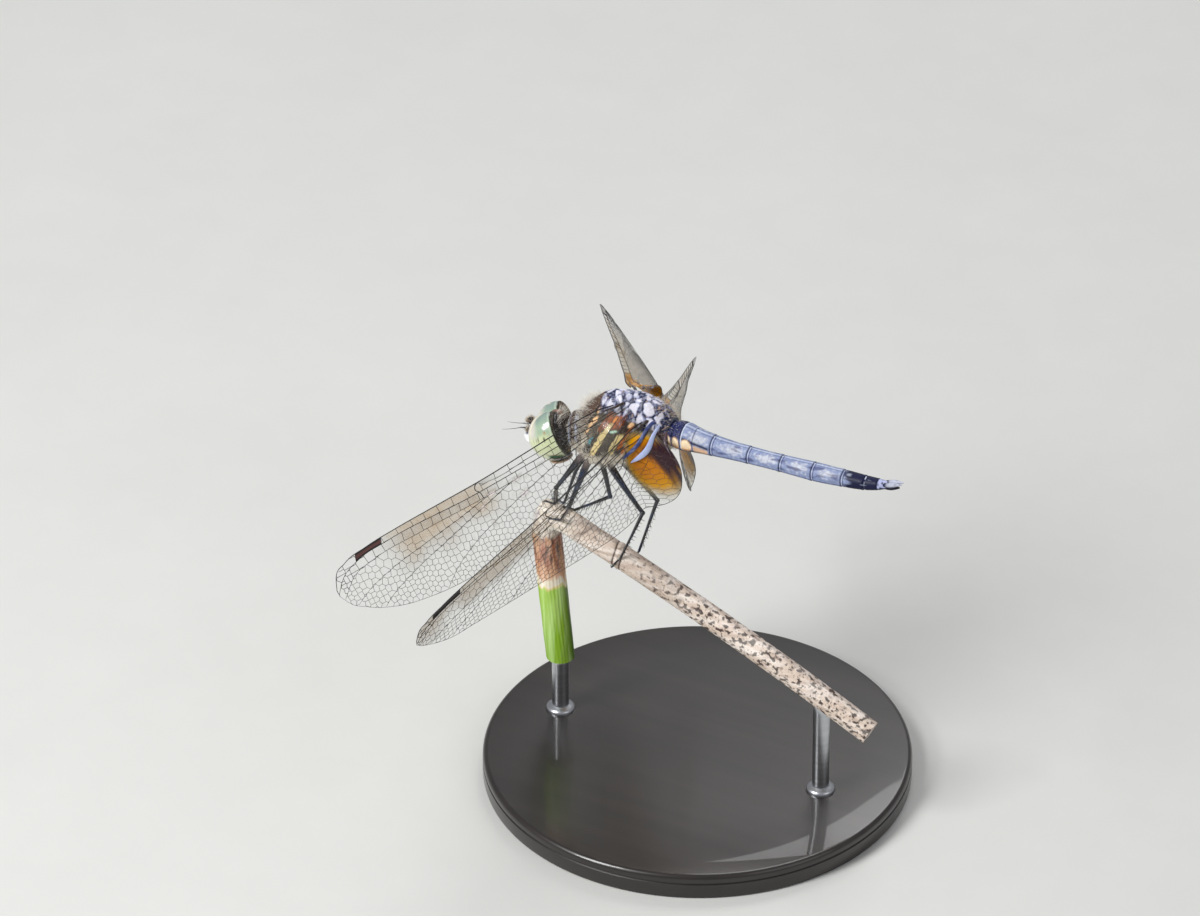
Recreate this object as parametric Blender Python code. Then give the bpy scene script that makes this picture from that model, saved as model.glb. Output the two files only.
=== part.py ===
"""A male blue dasher dragonfly at life size, perched on a bent reed that a plain stand holds.

The dragonfly faces -X with its left side towards -Y. The origin is the centre of the stand's
underside. Lengths are in millimetres until a mesh is made.
"""

import math

import bmesh
import bpy
from mathutils import Matrix, Vector

MM = 0.001
GAP = 0.06  # kept between neighbouring pieces

# The stand: a round base and two rods.
BASE_RADIUS = 20.0
BASE_THICKNESS = 2.5
BASE_EDGE = 0.5
ROD_RADIUS = 0.8
REAR_ROD_X = 13.0

# The reed: an upright green stem, folded over into a dry arm that slopes down to the rear.
REED_Y = -0.3
REED_SIDES = 20
GREEN_RADIUS = 1.35
GREEN_SWELL = 0.04  # how much thicker it is at its top
GREEN_FOOT = (-14.3, 8.5)  # x and z of the cut end
GREEN_TOP = (-15.7, 22.1)
SHOULDER_CENTRE = (-15.5, 23.35)  # where the stem begins to turn over
SHOULDER_OUTWARDS = (-1.3, 0.72)
FOLD_CENTRE = (-15.2, 24.15)
FOLD_INNER = (0.95, -1.35)  # from the fold's centre to its inner corner
DRY_RADIUS = 1.15
DRY_START = (-13.95, 24.1)
DRY_SLOPE = -0.357
DRY_SAG = -0.00203
DRY_END_X = 18.0
DRY_STEPS = 12
DRY_CLEAR_OF_FOLD = 0.25
FOLD_WIDER = 1.12  # both arms spread where they are pinched

# The body's own frame has its origin midway between the forewing roots and its X axis towards
# the tail. It is set tail up by BODY_PITCH.
BODY_ORIGIN = Vector((-8.0, 0.0, 39.5))
BODY_PITCH = math.radians(6.0)
HEAD_CENTRE = Vector((-7.39, 0.0, -5.02))
HEAD_NOD = math.radians(14.0)
HEAD_TURN = math.radians(15.7)  # to its left
HEAD_ROLL = math.radians(-9.8)  # its right eye is the lower one

# In the head's own frame, the face looks along -X.
EYE_CENTRE = Vector((0.0, 1.27, -0.17))
EYE_HALF = Vector((2.33, 1.78, 2.35))  # half its length, width and height
EYE_REAR_CUT = 0.77
EYE_REAR_LEAN = 0.14
SKULL_CENTRE = Vector((0.35, 0.0, -0.3))
SKULL_HALF = Vector((1.05, 2.6, 2.1))
VERTEX_CENTRE = Vector((-2.15, 0.0, 1.25))
VERTEX_HALF = Vector((0.4, 0.48, 0.38))
LABIUM_CENTRE = Vector((-0.35, 0.0, -2.84))  # the middle of its flat top
LABIUM_HALF = Vector((1.1, 1.2, 0.38))
# (z, front x, rear x, half width) up the face
FACE = (
    (-2.78, -1.2, -0.4, 0.8),
    (-2.4, -1.75, -0.5, 1.15),
    (-1.7, -2.25, -0.7, 1.4),
    (-1.0, -2.6, -0.9, 1.4),
    (-0.3, -2.85, -1.3, 1.25),
    (0.25, -2.85, -1.4, 1.05),
    (0.65, -2.55, -1.5, 0.72),
)

# (x, top z, bottom z, half width) along the thorax
THORAX = (
    (-4.2, -2.7, -6.1, 1.0),
    (-3.9, -1.8, -6.9, 1.6),
    (-3.1, -0.9, -7.35, 2.05),
    (-2.0, 0.0, -7.35, 2.35),
    (-0.8, 0.6, -7.0, 2.5),
    (0.8, 0.8, -6.6, 2.5),
    (2.4, 0.75, -5.9, 2.4),
    (3.6, 0.4, -5.3, 2.15),
    (4.6, -0.25, -4.7, 1.75),
    (5.1, -0.9, -4.3, 1.35),
)
THORAX_TOP_TAPER = 0.3  # how much narrower it is above its middle
THORAX_SIDES = 20

# (x, centre z, radius) along the abdomen, and where its segments part
ABDOMEN = (
    (4.7, -2.9, 1.1),
    (5.4, -2.9, 1.33),
    (6.2, -2.97, 1.42),
    (7.6, -3.15, 1.22),
    (9.25, -3.35, 1.04),
    (12.9, -3.62, 0.87),
    (16.2, -3.82, 0.86),
    (20.0, -4.02, 0.93),
    (22.45, -4.08, 0.85),
    (24.65, -4.1, 0.73),
    (26.0, -4.0, 0.58),
    (26.85, -3.9, 0.4),
)
SEGMENT_ENDS = (4.75, 5.5, 6.35, 9.25, 12.9, 16.2, 19.45, 22.45, 24.65, 26.0, 26.85)
ABDOMEN_WIDER = 1.05
ABDOMEN_LOWER = 0.95

WING_THICKNESS = 0.5
WING_STATIONS = 20
WING_ACROSS = 6
# The outlines, as shares of the wing's length: (distance out, leading edge, trailing edge)
FOREWING_OUTLINE = (
    (0.0, 0.0, 0.07),
    (0.03, -0.008, 0.092),
    (0.08, -0.012, 0.118),
    (0.15, -0.012, 0.155),
    (0.3, -0.006, 0.208),
    (0.45, 0.0, 0.232),
    (0.6, 0.0, 0.237),
    (0.75, 0.0, 0.228),
    (0.86, 0.004, 0.203),
    (0.94, 0.016, 0.162),
    (0.985, 0.045, 0.122),
    (1.0, 0.08, 0.092),
)
HINDWING_OUTLINE = (
    (0.0, 0.0, 0.085),
    (0.015, -0.004, 0.16),
    (0.04, -0.007, 0.22),
    (0.08, -0.008, 0.272),
    (0.14, -0.006, 0.306),
    (0.22, -0.003, 0.318),
    (0.35, 0.0, 0.305),
    (0.5, 0.002, 0.278),
    (0.65, 0.0, 0.25),
    (0.78, 0.0, 0.222),
    (0.88, 0.005, 0.195),
    (0.95, 0.02, 0.148),
    (0.987, 0.045, 0.112),
    (1.0, 0.08, 0.092),
)
WING_HINGE = 0.12  # the share of a wing's length over which it turns from its root's pitch
# Each wing: outline, length, root, then degrees of sweep forward, droop, pitch at the root,
# pitch past the hinge, and further turn to the tip. Pitch is negative, trailing edge down.
WINGS = {
    "wing_fore_left": (FOREWING_OUTLINE, 30.8, (0.0, -1.66, 0.0), 35.2, 12.4, -7, -52, -10),
    "wing_fore_right": (FOREWING_OUTLINE, 30.8, (0.0, 1.66, 0.0), 35.8, 14.0, -5, -50, -11),
    "wing_hind_left": (HINDWING_OUTLINE, 29.5, (2.95, -1.66, -1.17), 22.6, 18.1, -29, -92, -18),
    "wing_hind_right": (HINDWING_OUTLINE, 29.5, (2.95, 1.66, -1.17), 22.1, 21.6, -60, -72, -40),
}

FEMUR_RADII = (0.4, 0.32, 0.3)
FEMUR_BOW = 0.1
TIBIA_RADIUS = 0.26
TARSUS_RADIUS = 0.25
TARSUS_STEPS = 4
KNEE_ROOM = 0.62  # keeps a tibia clear of its femur and its foot
LEG_SIDES = 8
# Each leg: coxa in the body's frame, knee in the stand's frame, then where its foot starts and
# ends on the dry arm: (x, degrees round from the top towards the left side).
LEGS = {
    "leg_fore_left": ((-4.4, -0.9, -6.8), (-13.8, -2.0, 28.7), (-15.1, 10), (-15.9, 22)),
    "leg_fore_right": ((-4.4, 0.9, -6.8), (-13.6, 1.7, 28.7), (-14.7, -50), (-15.5, -55)),
    "leg_mid_left": ((-3.6, -1.2, -7.0), (-11.9, -3.0, 27.8), (-13.9, 58), (-14.8, 75)),
    "leg_mid_right": ((-3.8, 1.0, -7.0), (-9.7, 0.9, 27.3), (-13.5, -40), (-14.3, -5)),
    "leg_hind_left": ((-1.6, -0.9, -7.0), (-5.0, -1.6, 28.5), (-7.7, 50), (-8.1, 135)),
    "leg_hind_right": ((-2.1, 0.9, -7.0), (-4.9, 1.1, 28.3), (-6.9, -50), (-7.2, -120)),
}

MATERIALS = {
    "powder_blue": ((0.42, 0.5, 0.72), 0.6, 0.0),
    "dark_tip": ((0.03, 0.04, 0.08), 0.4, 0.0),
    "thorax_brown": ((0.2, 0.13, 0.06), 0.5, 0.0),
    "head_dark": ((0.05, 0.05, 0.05), 0.5, 0.0),
    "face_white": ((0.75, 0.75, 0.68), 0.45, 0.0),
    "eye_green": ((0.4, 0.62, 0.45), 0.15, 0.0),
    "leg_black": ((0.02, 0.025, 0.04), 0.35, 0.0),
    "wing_membrane": ((0.55, 0.5, 0.3), 0.2, 0.0),
    "reed_green": ((0.16, 0.42, 0.05), 0.5, 0.0),
    "reed_dry": ((0.52, 0.45, 0.4), 0.75, 0.0),
    "stand_black": ((0.02, 0.02, 0.02), 0.35, 0.0),
    "stand_steel": ((0.55, 0.56, 0.58), 0.3, 1.0),
}


# Small tools


def material(name):
    found = bpy.data.materials.get(name)
    if found:
        return found
    colour, roughness, metallic = MATERIALS[name]
    made = bpy.data.materials.new(name)
    made.use_nodes = True
    shader = made.node_tree.nodes["Principled BSDF"]
    shader.inputs["Base Color"].default_value = (*colour, 1.0)
    shader.inputs["Roughness"].default_value = roughness
    shader.inputs["Metallic"].default_value = metallic
    return made


def add_object(name, bm, material_name, parent=None):
    """Links a mesh made in millimetres as an object in metres."""
    bmesh.ops.recalc_face_normals(bm, faces=bm.faces)
    bmesh.ops.scale(bm, vec=(MM, MM, MM), verts=bm.verts)
    mesh = bpy.data.meshes.new(name)
    bm.to_mesh(mesh)
    bm.free()
    mesh.materials.append(material(material_name))
    mesh.shade_smooth()
    mesh.set_sharp_from_angle(angle=math.radians(40))
    made = bpy.data.objects.new(name, mesh)
    bpy.context.scene.collection.objects.link(made)
    made.parent = parent
    return made


def empty(name, location, roll, pitch, turn, parent=None):
    """An empty for the parts set in its frame. Pitch turns its X axis up."""
    made = bpy.data.objects.new(name, None)
    bpy.context.scene.collection.objects.link(made)
    made.location = location * MM
    made.rotation_euler = (roll, -pitch, turn)
    made.parent = parent
    return made


def cutter_of(part, grow=GAP):
    """A hidden copy of a part, grown along its normals, for cutting its neighbours."""
    bm = bmesh.new()
    bm.from_mesh(part.data)
    bm.normal_update()
    for vert in bm.verts:
        vert.co += vert.normal * grow * MM
    mesh = bpy.data.meshes.new(part.name + "_cutter")
    bm.to_mesh(mesh)
    bm.free()
    made = bpy.data.objects.new(part.name + "_cutter", mesh)
    bpy.context.scene.collection.objects.link(made)
    made.parent = part.parent
    made.hide_render = True
    made.display_type = "WIRE"
    for earlier in part.modifiers:
        copy_boolean(made, earlier.object)
    return made


def copy_boolean(part, cutter):
    cut = part.modifiers.new("cut_by_" + cutter.name, "BOOLEAN")
    cut.operation = "DIFFERENCE"
    cut.solver = "EXACT"
    cut.object = cutter


def cut_by(part, *cutters):
    for cutter in cutters:
        copy_boolean(part, cutter)


def smooth(table, x):
    """Reads a table of (x, values...) along a Catmull-Rom curve through its rows."""
    last = len(table) - 1
    k = 0
    while k < last - 1 and x > table[k + 1][0]:
        k += 1
    x0, x1 = table[k][0], table[k + 1][0]
    t = min(max((x - x0) / (x1 - x0), 0.0), 1.0)
    values = []
    for column in range(1, len(table[0])):
        a, b = table[k][column], table[k + 1][column]
        before, after = table[max(k - 1, 0)], table[min(k + 2, last)]
        slope_a = (b - before[column]) / (x1 - before[0])
        slope_b = (after[column] - a) / (after[0] - x0)
        span = x1 - x0
        values.append(
            a * (1 + 2 * t) * (1 - t) ** 2
            + slope_a * span * t * (1 - t) ** 2
            + b * t * t * (3 - 2 * t)
            - slope_b * span * t * t * (1 - t)
        )
    return values


def ring(centre, across, up, sides, taper=0.0):
    """Points round an oval. Taper makes it narrower above its middle and wider below."""
    points = []
    for k in range(sides):
        turn = 2 * math.pi * k / sides
        wide = math.sin(turn) * (1 - taper * math.cos(turn))
        points.append(centre + across * wide + up * math.cos(turn))
    return points


def loft(name, rings, material_name, parent=None):
    """One closed body through rings of points, with flat ends."""
    bm = bmesh.new()
    loops = [[bm.verts.new(point) for point in points] for points in rings]
    for near, far in zip(loops, loops[1:]):
        count = len(near)
        for k in range(count):
            after = (k + 1) % count
            bm.faces.new((near[k], near[after], far[after], far[k]))
    bm.faces.new(list(reversed(loops[0])))
    bm.faces.new(loops[-1])
    return add_object(name, bm, material_name, parent)


def tube(name, path, radii, sides, material_name, parent=None, flat=1.0):
    """A tube along a path, its ends rounded, with a radius at each of the path's points."""
    rings = []
    last = len(path) - 1
    for k, point in enumerate(path):
        ahead = (path[min(k + 1, last)] - path[max(k - 1, 0)]).normalized()
        side = ahead.cross(Vector((0.0, 0.0, 1.0)))
        if side.length < 0.1:
            side = Vector((0.0, 1.0, 0.0))
        side.normalize()
        up = side.cross(ahead)
        if k in (0, last):
            inward = ahead if k == 0 else -ahead
            tip = ring(point, side * radii[k] * 0.55, up * radii[k] * 0.55 * flat, sides)
            shoulder = point + inward * radii[k] * 0.5
            full = ring(shoulder, side * radii[k], up * radii[k] * flat, sides)
            rings.extend([tip, full] if k == 0 else [full, tip])
        else:
            rings.append(ring(point, side * radii[k], up * radii[k] * flat, sides))
    return loft(name, rings, material_name, parent)


def ellipsoid(name, centre, half, material_name, parent=None, columns=20, rows=12, planes=()):
    """An ellipsoid, cut flat by planes given as (point, normal); what lies past one is lost."""
    bm = bmesh.new()
    bmesh.ops.create_uvsphere(bm, u_segments=columns, v_segments=rows, radius=1.0)
    bmesh.ops.rotate(bm, matrix=Matrix.Rotation(0.31, 3, "Z"), verts=bm.verts)
    bmesh.ops.transform(bm, matrix=Matrix.Diagonal((*half, 1.0)), verts=bm.verts)
    bmesh.ops.translate(bm, vec=centre, verts=bm.verts)
    for point, normal in planes:
        cut = bmesh.ops.bisect_plane(
            bm,
            geom=bm.verts[:] + bm.edges[:] + bm.faces[:],
            dist=1e-5,
            plane_co=point,
            plane_no=normal,
            clear_outer=True,
        )
        rim = [item for item in cut["geom_cut"] if isinstance(item, bmesh.types.BMEdge)]
        bmesh.ops.edgeloop_fill(bm, edges=rim)
    return add_object(name, bm, material_name, parent)


# The stand and the reed


def make_base():
    bm = bmesh.new()
    bmesh.ops.create_cone(
        bm,
        cap_ends=True,
        segments=48,
        radius1=BASE_RADIUS,
        radius2=BASE_RADIUS,
        depth=BASE_THICKNESS,
    )
    bmesh.ops.translate(bm, vec=(0.0, 0.0, BASE_THICKNESS / 2), verts=bm.verts)
    base = add_object("stand_base", bm, "stand_black")
    edge = base.modifiers.new("edge", "BEVEL")
    edge.width = BASE_EDGE * MM
    edge.segments = 2
    edge.limit_method = "ANGLE"


def make_rod(name, x, y, top):
    bm = bmesh.new()
    bottom = BASE_THICKNESS + GAP
    bmesh.ops.create_cone(
        bm,
        cap_ends=True,
        segments=16,
        radius1=ROD_RADIUS,
        radius2=ROD_RADIUS,
        depth=top - bottom,
    )
    bmesh.ops.translate(bm, vec=(x, y, (top + bottom) / 2), verts=bm.verts)
    return add_object(name, bm, "stand_steel")


def dry_axis(x):
    """The centre of the dry arm at x, and the direction it runs in."""
    along = x - DRY_START[0]
    z = DRY_START[1] + DRY_SLOPE * along + DRY_SAG * along * along
    ahead = Vector((1.0, 0.0, DRY_SLOPE + 2 * DRY_SAG * along)).normalized()
    return Vector((x, REED_Y, z)), ahead


def on_dry_arm(x, degrees, lift):
    """A point off the dry arm's surface by lift, degrees round from its top to its left."""
    centre, ahead = dry_axis(x)
    up = Vector((-ahead.z, 0.0, ahead.x))
    turn = math.radians(degrees)
    left = Vector((0.0, -1.0, 0.0))
    return centre + (up * math.cos(turn) + left * math.sin(turn)) * (DRY_RADIUS + lift)


def fold_ring(towards):
    """The oval where both arms meet at the fold, moved half the gap towards one of them."""
    centre = Vector((FOLD_CENTRE[0], REED_Y, FOLD_CENTRE[1]))
    inner = Vector((FOLD_INNER[0], 0.0, FOLD_INNER[1]))
    off = Vector((-inner.z, 0.0, inner.x)).normalized()
    if off.dot(towards) < 0:
        off = -off
    side = Vector((0.0, GREEN_RADIUS * FOLD_WIDER, 0.0))
    return ring(centre + off * GAP / 2, side, -inner, REED_SIDES)


def make_reed():
    side = Vector((0.0, 1.0, 0.0))
    foot = Vector((GREEN_FOOT[0], REED_Y, GREEN_FOOT[1]))
    top = Vector((GREEN_TOP[0], REED_Y, GREEN_TOP[1]))
    outwards = Vector((-1.0, 0.0, 0.0)) * GREEN_RADIUS
    rings = []
    for share in (0.0, 0.33, 0.67, 0.9, 1.0):
        swell = 1.0 + GREEN_SWELL * share
        middle = foot.lerp(top, share)
        rings.append(ring(middle, side * GREEN_RADIUS * swell, outwards * swell, REED_SIDES))
    shoulder = Vector((SHOULDER_CENTRE[0], REED_Y, SHOULDER_CENTRE[1]))
    outwards = Vector((SHOULDER_OUTWARDS[0], 0.0, SHOULDER_OUTWARDS[1]))
    rings.append(ring(shoulder, side * GREEN_RADIUS * FOLD_WIDER, outwards, REED_SIDES))
    rings.append(fold_ring(Vector((-1.0, 0.0, -1.0))))
    loft("reed_green", rings, "reed_green")

    rings = [fold_ring(Vector((1.0, 0.0, 0.0)))]
    first = DRY_START[0] + DRY_CLEAR_OF_FOLD
    for k in range(DRY_STEPS + 1):
        centre, ahead = dry_axis(first + (DRY_END_X - first) * k / DRY_STEPS)
        up = Vector((-ahead.z, 0.0, ahead.x)) * DRY_RADIUS
        wide = FOLD_WIDER if k == 0 else 1.0
        rings.append(ring(centre, side * DRY_RADIUS * wide, up, REED_SIDES))
    dry = loft("reed_dry", rings, "reed_dry")

    make_rod("stand_rod_front", GREEN_FOOT[0], REED_Y, GREEN_FOOT[1] - GAP)
    rear = make_rod("stand_rod_rear", REAR_ROD_X, REED_Y, dry_axis(REAR_ROD_X)[0].z)
    cut_by(rear, cutter_of(dry))


# The body


def make_thorax(body):
    rings = []
    for x, top, bottom, half in THORAX:
        centre = Vector((x, 0.0, (top + bottom) / 2))
        up = Vector((0.0, 0.0, (top - bottom) / 2))
        across = Vector((0.0, half, 0.0))
        rings.append(ring(centre, across, up, THORAX_SIDES, THORAX_TOP_TAPER))
    return loft("thorax", rings, "thorax_brown", body)


def make_neck_and_prothorax(body, thorax_cutter, head_cutter):
    sections = (
        (-5.7, -3.5, -5.7, 0.85),
        (-5.5, -2.9, -6.25, 1.25),
        (-4.9, -2.45, -6.8, 1.6),
        (-4.2, -2.15, -7.0, 1.75),
        (-3.6, -2.0, -6.9, 1.65),
    )
    rings = []
    for x, top, bottom, half in sections:
        centre = Vector((x, 0.0, (top + bottom) / 2))
        up = Vector((0.0, 0.0, (top - bottom) / 2))
        rings.append(ring(centre, Vector((0.0, half, 0.0)), up, 18))
    prothorax = loft("prothorax", rings, "thorax_brown", body)
    cut_by(prothorax, thorax_cutter, head_cutter)
    path = [Vector((-7.0, 0.0, -4.8)), Vector((-6.4, 0.0, -4.75)), Vector((-5.7 - GAP, 0.0, -4.7))]
    neck = tube("neck", path, (0.6, 0.6, 0.6), 12, "head_dark", body)
    cut_by(neck, head_cutter)
    return prothorax


def make_abdomen(body, thorax_cutter):
    for number, (start, end) in enumerate(zip(SEGMENT_ENDS, SEGMENT_ENDS[1:]), start=1):
        start += GAP / 2
        end -= GAP / 2
        steps = 4 if end - start > 2 else 2
        rings = []
        for k in range(steps + 1):
            x = start + (end - start) * k / steps
            z, radius = smooth(ABDOMEN, x)
            across = Vector((0.0, radius * ABDOMEN_WIDER, 0.0))
            up = Vector((0.0, 0.0, radius * ABDOMEN_LOWER))
            rings.append(ring(Vector((x, 0.0, z)), across, up, 16))
        colour = "dark_tip" if number in (8, 9) else "powder_blue"
        segment = loft(f"abdomen_{number}", rings, colour, body)
        if number <= 2:
            cut_by(segment, thorax_cutter)
    root = Vector((SEGMENT_ENDS[-1] + GAP / 2, 0.0, smooth(ABDOMEN, SEGMENT_ENDS[-1])[0]))
    for name, side in (("cercus_left", -1), ("cercus_right", 1)):
        path = [
            root + Vector((0.02, 0.29 * side, 0.14)),
            root + Vector((1.0, 0.36 * side, 0.36)),
            root + Vector((1.95, 0.31 * side, 0.52)),
        ]
        tube(name, path, (0.25, 0.26, 0.16), 8, "powder_blue", body)
    path = [root + Vector((0.02, 0.0, -0.3)), root + Vector((1.2, 0.0, -0.06))]
    tube("epiproct", path, (0.22, 0.14), 8, "dark_tip", body)


# The head


def make_head(body):
    head = empty("head_pose", HEAD_CENTRE, HEAD_ROLL, HEAD_NOD, HEAD_TURN, body)
    eye_cutters = []
    for name, side in (("eye_left", -1), ("eye_right", 1)):
        planes = (
            (Vector((0.0, side * GAP / 2, 0.0)), Vector((0.0, -side, 0.0))),
            (Vector((EYE_REAR_CUT, 0.0, 0.0)), Vector((1.0, 0.0, EYE_REAR_LEAN)).normalized()),
        )
        centre = Vector((EYE_CENTRE.x, EYE_CENTRE.y * side, EYE_CENTRE.z))
        eye = ellipsoid(name, centre, EYE_HALF, "eye_green", head, planes=planes)
        eye_cutters.append(cutter_of(eye))

    skull = ellipsoid("head", SKULL_CENTRE, SKULL_HALF, "head_dark", head)
    back_cutter = cutter_of(skull)
    cut_by(skull, *eye_cutters)

    rings = []
    for z, front, rear, half in FACE:
        centre = Vector(((front + rear) / 2, 0.0, z))
        rings.append(ring(centre, Vector((0.0, half, 0.0)), Vector((rear - front, 0.0, 0.0)) / 2, 14))
    face = loft("face", rings, "face_white", head)
    cut_by(face, *eye_cutters)

    planes = ((LABIUM_CENTRE, Vector((0.0, 0.0, 1.0))),)
    ellipsoid("labium", LABIUM_CENTRE, LABIUM_HALF, "face_white", head, 16, 8, planes)
    vertex = ellipsoid("vertex", VERTEX_CENTRE, VERTEX_HALF, "head_dark", head, 14, 8)
    cut_by(vertex, *eye_cutters)

    for name, side in (("antenna_left", -1), ("antenna_right", 1)):
        path = [
            Vector((-2.95, 0.5 * side, 0.9)),
            Vector((-3.55, 0.62 * side, 1.0)),
            Vector((-4.6, 0.9 * side, 1.2)),
        ]
        tube(name, path, (0.25, 0.25, 0.22), 8, "leg_black", head)
    return back_cutter


# Wings


def wing_axes(side, sweep, droop):
    """Unit vectors along the wing's length, back across its chord, and off its upper face."""
    sweep, droop = math.radians(sweep), math.radians(droop)
    out = Vector((-math.sin(sweep) * math.cos(droop), math.cos(sweep) * math.cos(droop), -math.sin(droop)))
    back = Vector((math.cos(sweep), math.sin(sweep), 0.0))
    above = back.cross(out)
    for axis in (out, back, above):
        axis.y *= side
    return out, back, above


def make_wing(name, body, thorax_cutter):
    outline, length, root, sweep, droop, root_pitch, pitch, twist = WINGS[name]
    side = -1 if root[1] < 0 else 1
    out, back, above = wing_axes(side, sweep, droop)
    stations = []
    for k in range(WING_STATIONS + 1):
        stations.append(0.5 - 0.5 * math.cos(math.pi * k / WING_STATIONS))
    rings = []
    for u in stations:
        lead, trail = smooth(outline, u)
        share = min(u / WING_HINGE, 1.0)
        share = share * share * (3 - 2 * share)
        angle = math.radians(root_pitch + (pitch - root_pitch) * share + twist * u)
        chord = back * math.cos(angle) + above * math.sin(angle)
        normal = above * math.cos(angle) - back * math.sin(angle)
        start = Vector(root) + out * u * length
        upper, lower = [], []
        for j in range(WING_ACROSS + 1):
            v = lead + (trail - lead) * j / WING_ACROSS
            thin = 0.6 if j in (0, WING_ACROSS) else 1.0
            point = start + chord * v * length
            upper.append(point + normal * WING_THICKNESS / 2 * thin)
            lower.append(point - normal * WING_THICKNESS / 2 * thin)
        rings.append(upper + lower[::-1])
    wing = loft(name, rings, "wing_membrane", body)
    cut_by(wing, thorax_cutter)


# Legs


def leg_path(start, end, room, bow=Vector((0.0, 0.0, 0.0))):
    """Three points along a leg's section, with room left at both ends, its middle moved by bow."""
    ahead = (end - start).normalized()
    first = start + ahead * room
    last = end - ahead * room
    return [first, (first + last) / 2 + bow, last]


def make_leg(name, to_world, *body_cutters):
    coxa, knee, foot, toe = LEGS[name]
    coxa = to_world @ Vector(coxa)
    knee = Vector(knee)
    lift = TARSUS_RADIUS + GAP
    heel = on_dry_arm(foot[0], foot[1], lift)
    side = Vector((0.0, -1.0 if "left" in name else 1.0, 0.0))
    path = leg_path(coxa, knee, 0.0, side * FEMUR_BOW)
    femur = tube(name + "_femur", path, FEMUR_RADII, LEG_SIDES, "leg_black")
    cut_by(femur, *body_cutters)
    path = leg_path(knee, heel, KNEE_ROOM)
    tube(name + "_tibia", path, (TIBIA_RADIUS,) * 3, LEG_SIDES, "leg_black")
    path = []
    for k in range(TARSUS_STEPS + 1):
        share = k / TARSUS_STEPS
        x = foot[0] + (toe[0] - foot[0]) * share
        degrees = foot[1] + (toe[1] - foot[1]) * share
        path.append(on_dry_arm(x, degrees, lift))
    tube(name + "_tarsus", path, (TARSUS_RADIUS,) * len(path), LEG_SIDES, "leg_black")


def main():
    for old in list(bpy.data.objects):
        bpy.data.objects.remove(old)
    make_base()
    make_reed()

    body = empty("body_pose", BODY_ORIGIN, 0.0, BODY_PITCH, 0.0)
    thorax = make_thorax(body)
    thorax_cutter = cutter_of(thorax)
    head_cutter = make_head(body)
    prothorax = make_neck_and_prothorax(body, thorax_cutter, head_cutter)
    make_abdomen(body, thorax_cutter)
    for name in WINGS:
        make_wing(name, body, thorax_cutter)

    to_world = Matrix.Translation(BODY_ORIGIN) @ Matrix.Rotation(-BODY_PITCH, 4, "Y")
    prothorax_cutter = cutter_of(prothorax)
    for name in LEGS:
        make_leg(name, to_world, thorax_cutter, prothorax_cutter)


main()
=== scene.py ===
import math
import random

import bmesh
import bpy
import numpy as np
from mathutils import Euler, Matrix, Vector, noise
from mathutils.geometry import delaunay_2d_cdt


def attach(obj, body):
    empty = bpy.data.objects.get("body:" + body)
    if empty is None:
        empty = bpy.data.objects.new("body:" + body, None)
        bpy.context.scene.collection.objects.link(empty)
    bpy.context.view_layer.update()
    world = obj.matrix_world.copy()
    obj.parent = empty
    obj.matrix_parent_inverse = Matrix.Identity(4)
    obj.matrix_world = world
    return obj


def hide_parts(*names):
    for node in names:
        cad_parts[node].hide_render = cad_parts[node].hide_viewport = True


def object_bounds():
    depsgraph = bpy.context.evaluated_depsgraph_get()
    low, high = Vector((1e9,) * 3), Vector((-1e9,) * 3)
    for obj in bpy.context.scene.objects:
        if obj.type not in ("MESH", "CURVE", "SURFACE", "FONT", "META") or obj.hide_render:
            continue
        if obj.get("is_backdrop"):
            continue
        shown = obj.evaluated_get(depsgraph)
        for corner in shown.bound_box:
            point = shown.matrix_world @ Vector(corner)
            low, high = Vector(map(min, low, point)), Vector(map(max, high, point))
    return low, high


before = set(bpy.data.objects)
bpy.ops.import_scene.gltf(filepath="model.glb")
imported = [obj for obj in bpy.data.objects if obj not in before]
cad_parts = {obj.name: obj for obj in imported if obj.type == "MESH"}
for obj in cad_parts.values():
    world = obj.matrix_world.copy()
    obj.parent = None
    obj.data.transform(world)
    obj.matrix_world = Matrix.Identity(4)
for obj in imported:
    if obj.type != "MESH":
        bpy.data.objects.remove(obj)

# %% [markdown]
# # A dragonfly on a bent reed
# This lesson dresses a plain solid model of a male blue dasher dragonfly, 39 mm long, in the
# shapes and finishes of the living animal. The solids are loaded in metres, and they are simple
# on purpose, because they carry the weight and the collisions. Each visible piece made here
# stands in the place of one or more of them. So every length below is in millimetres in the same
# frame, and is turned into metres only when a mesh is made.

MM = 0.001
TURN = 2 * math.pi
cad_box = [list(corner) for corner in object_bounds()]
print("solids reach from", cad_box[0], "to", cad_box[1])


def in_scene(name, data):
    """An object made from its data and linked to the scene."""
    made = bpy.data.objects.new(name, data)
    bpy.context.scene.collection.objects.link(made)
    return made


def new_mesh(name, points, edges, faces):
    """A mesh in metres from points in millimetres."""
    mesh = bpy.data.meshes.new(name)
    mesh.from_pydata([tuple(point) for point in np.asarray(points) * MM], edges, faces)
    return mesh


# %% [markdown]
# ## The camera
# A small animal is best seen from far away through a long lens, because that keeps its
# proportions true. The camera looks down at 34 degrees over the dragonfly's left hind quarter.
# It is set by two angles, a target and a distance, so that each of them can be changed alone.

# %% Camera
VIEW_AZIMUTH, VIEW_ELEVATION = 28.0, 34.4
VIEW_TARGET = Vector((-8.28, -3.76, 34.86))
VIEW_WIDTH = 109.56  # what the picture spans at the target
LENS, SENSOR = 300.0, 36.0


def way_to(azimuth, elevation):
    """The direction from the target towards a place given by two angles in degrees."""
    a, e = math.radians(azimuth), math.radians(elevation)
    return Vector((math.sin(a) * math.cos(e), -math.cos(a) * math.cos(e), math.sin(e)))


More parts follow.
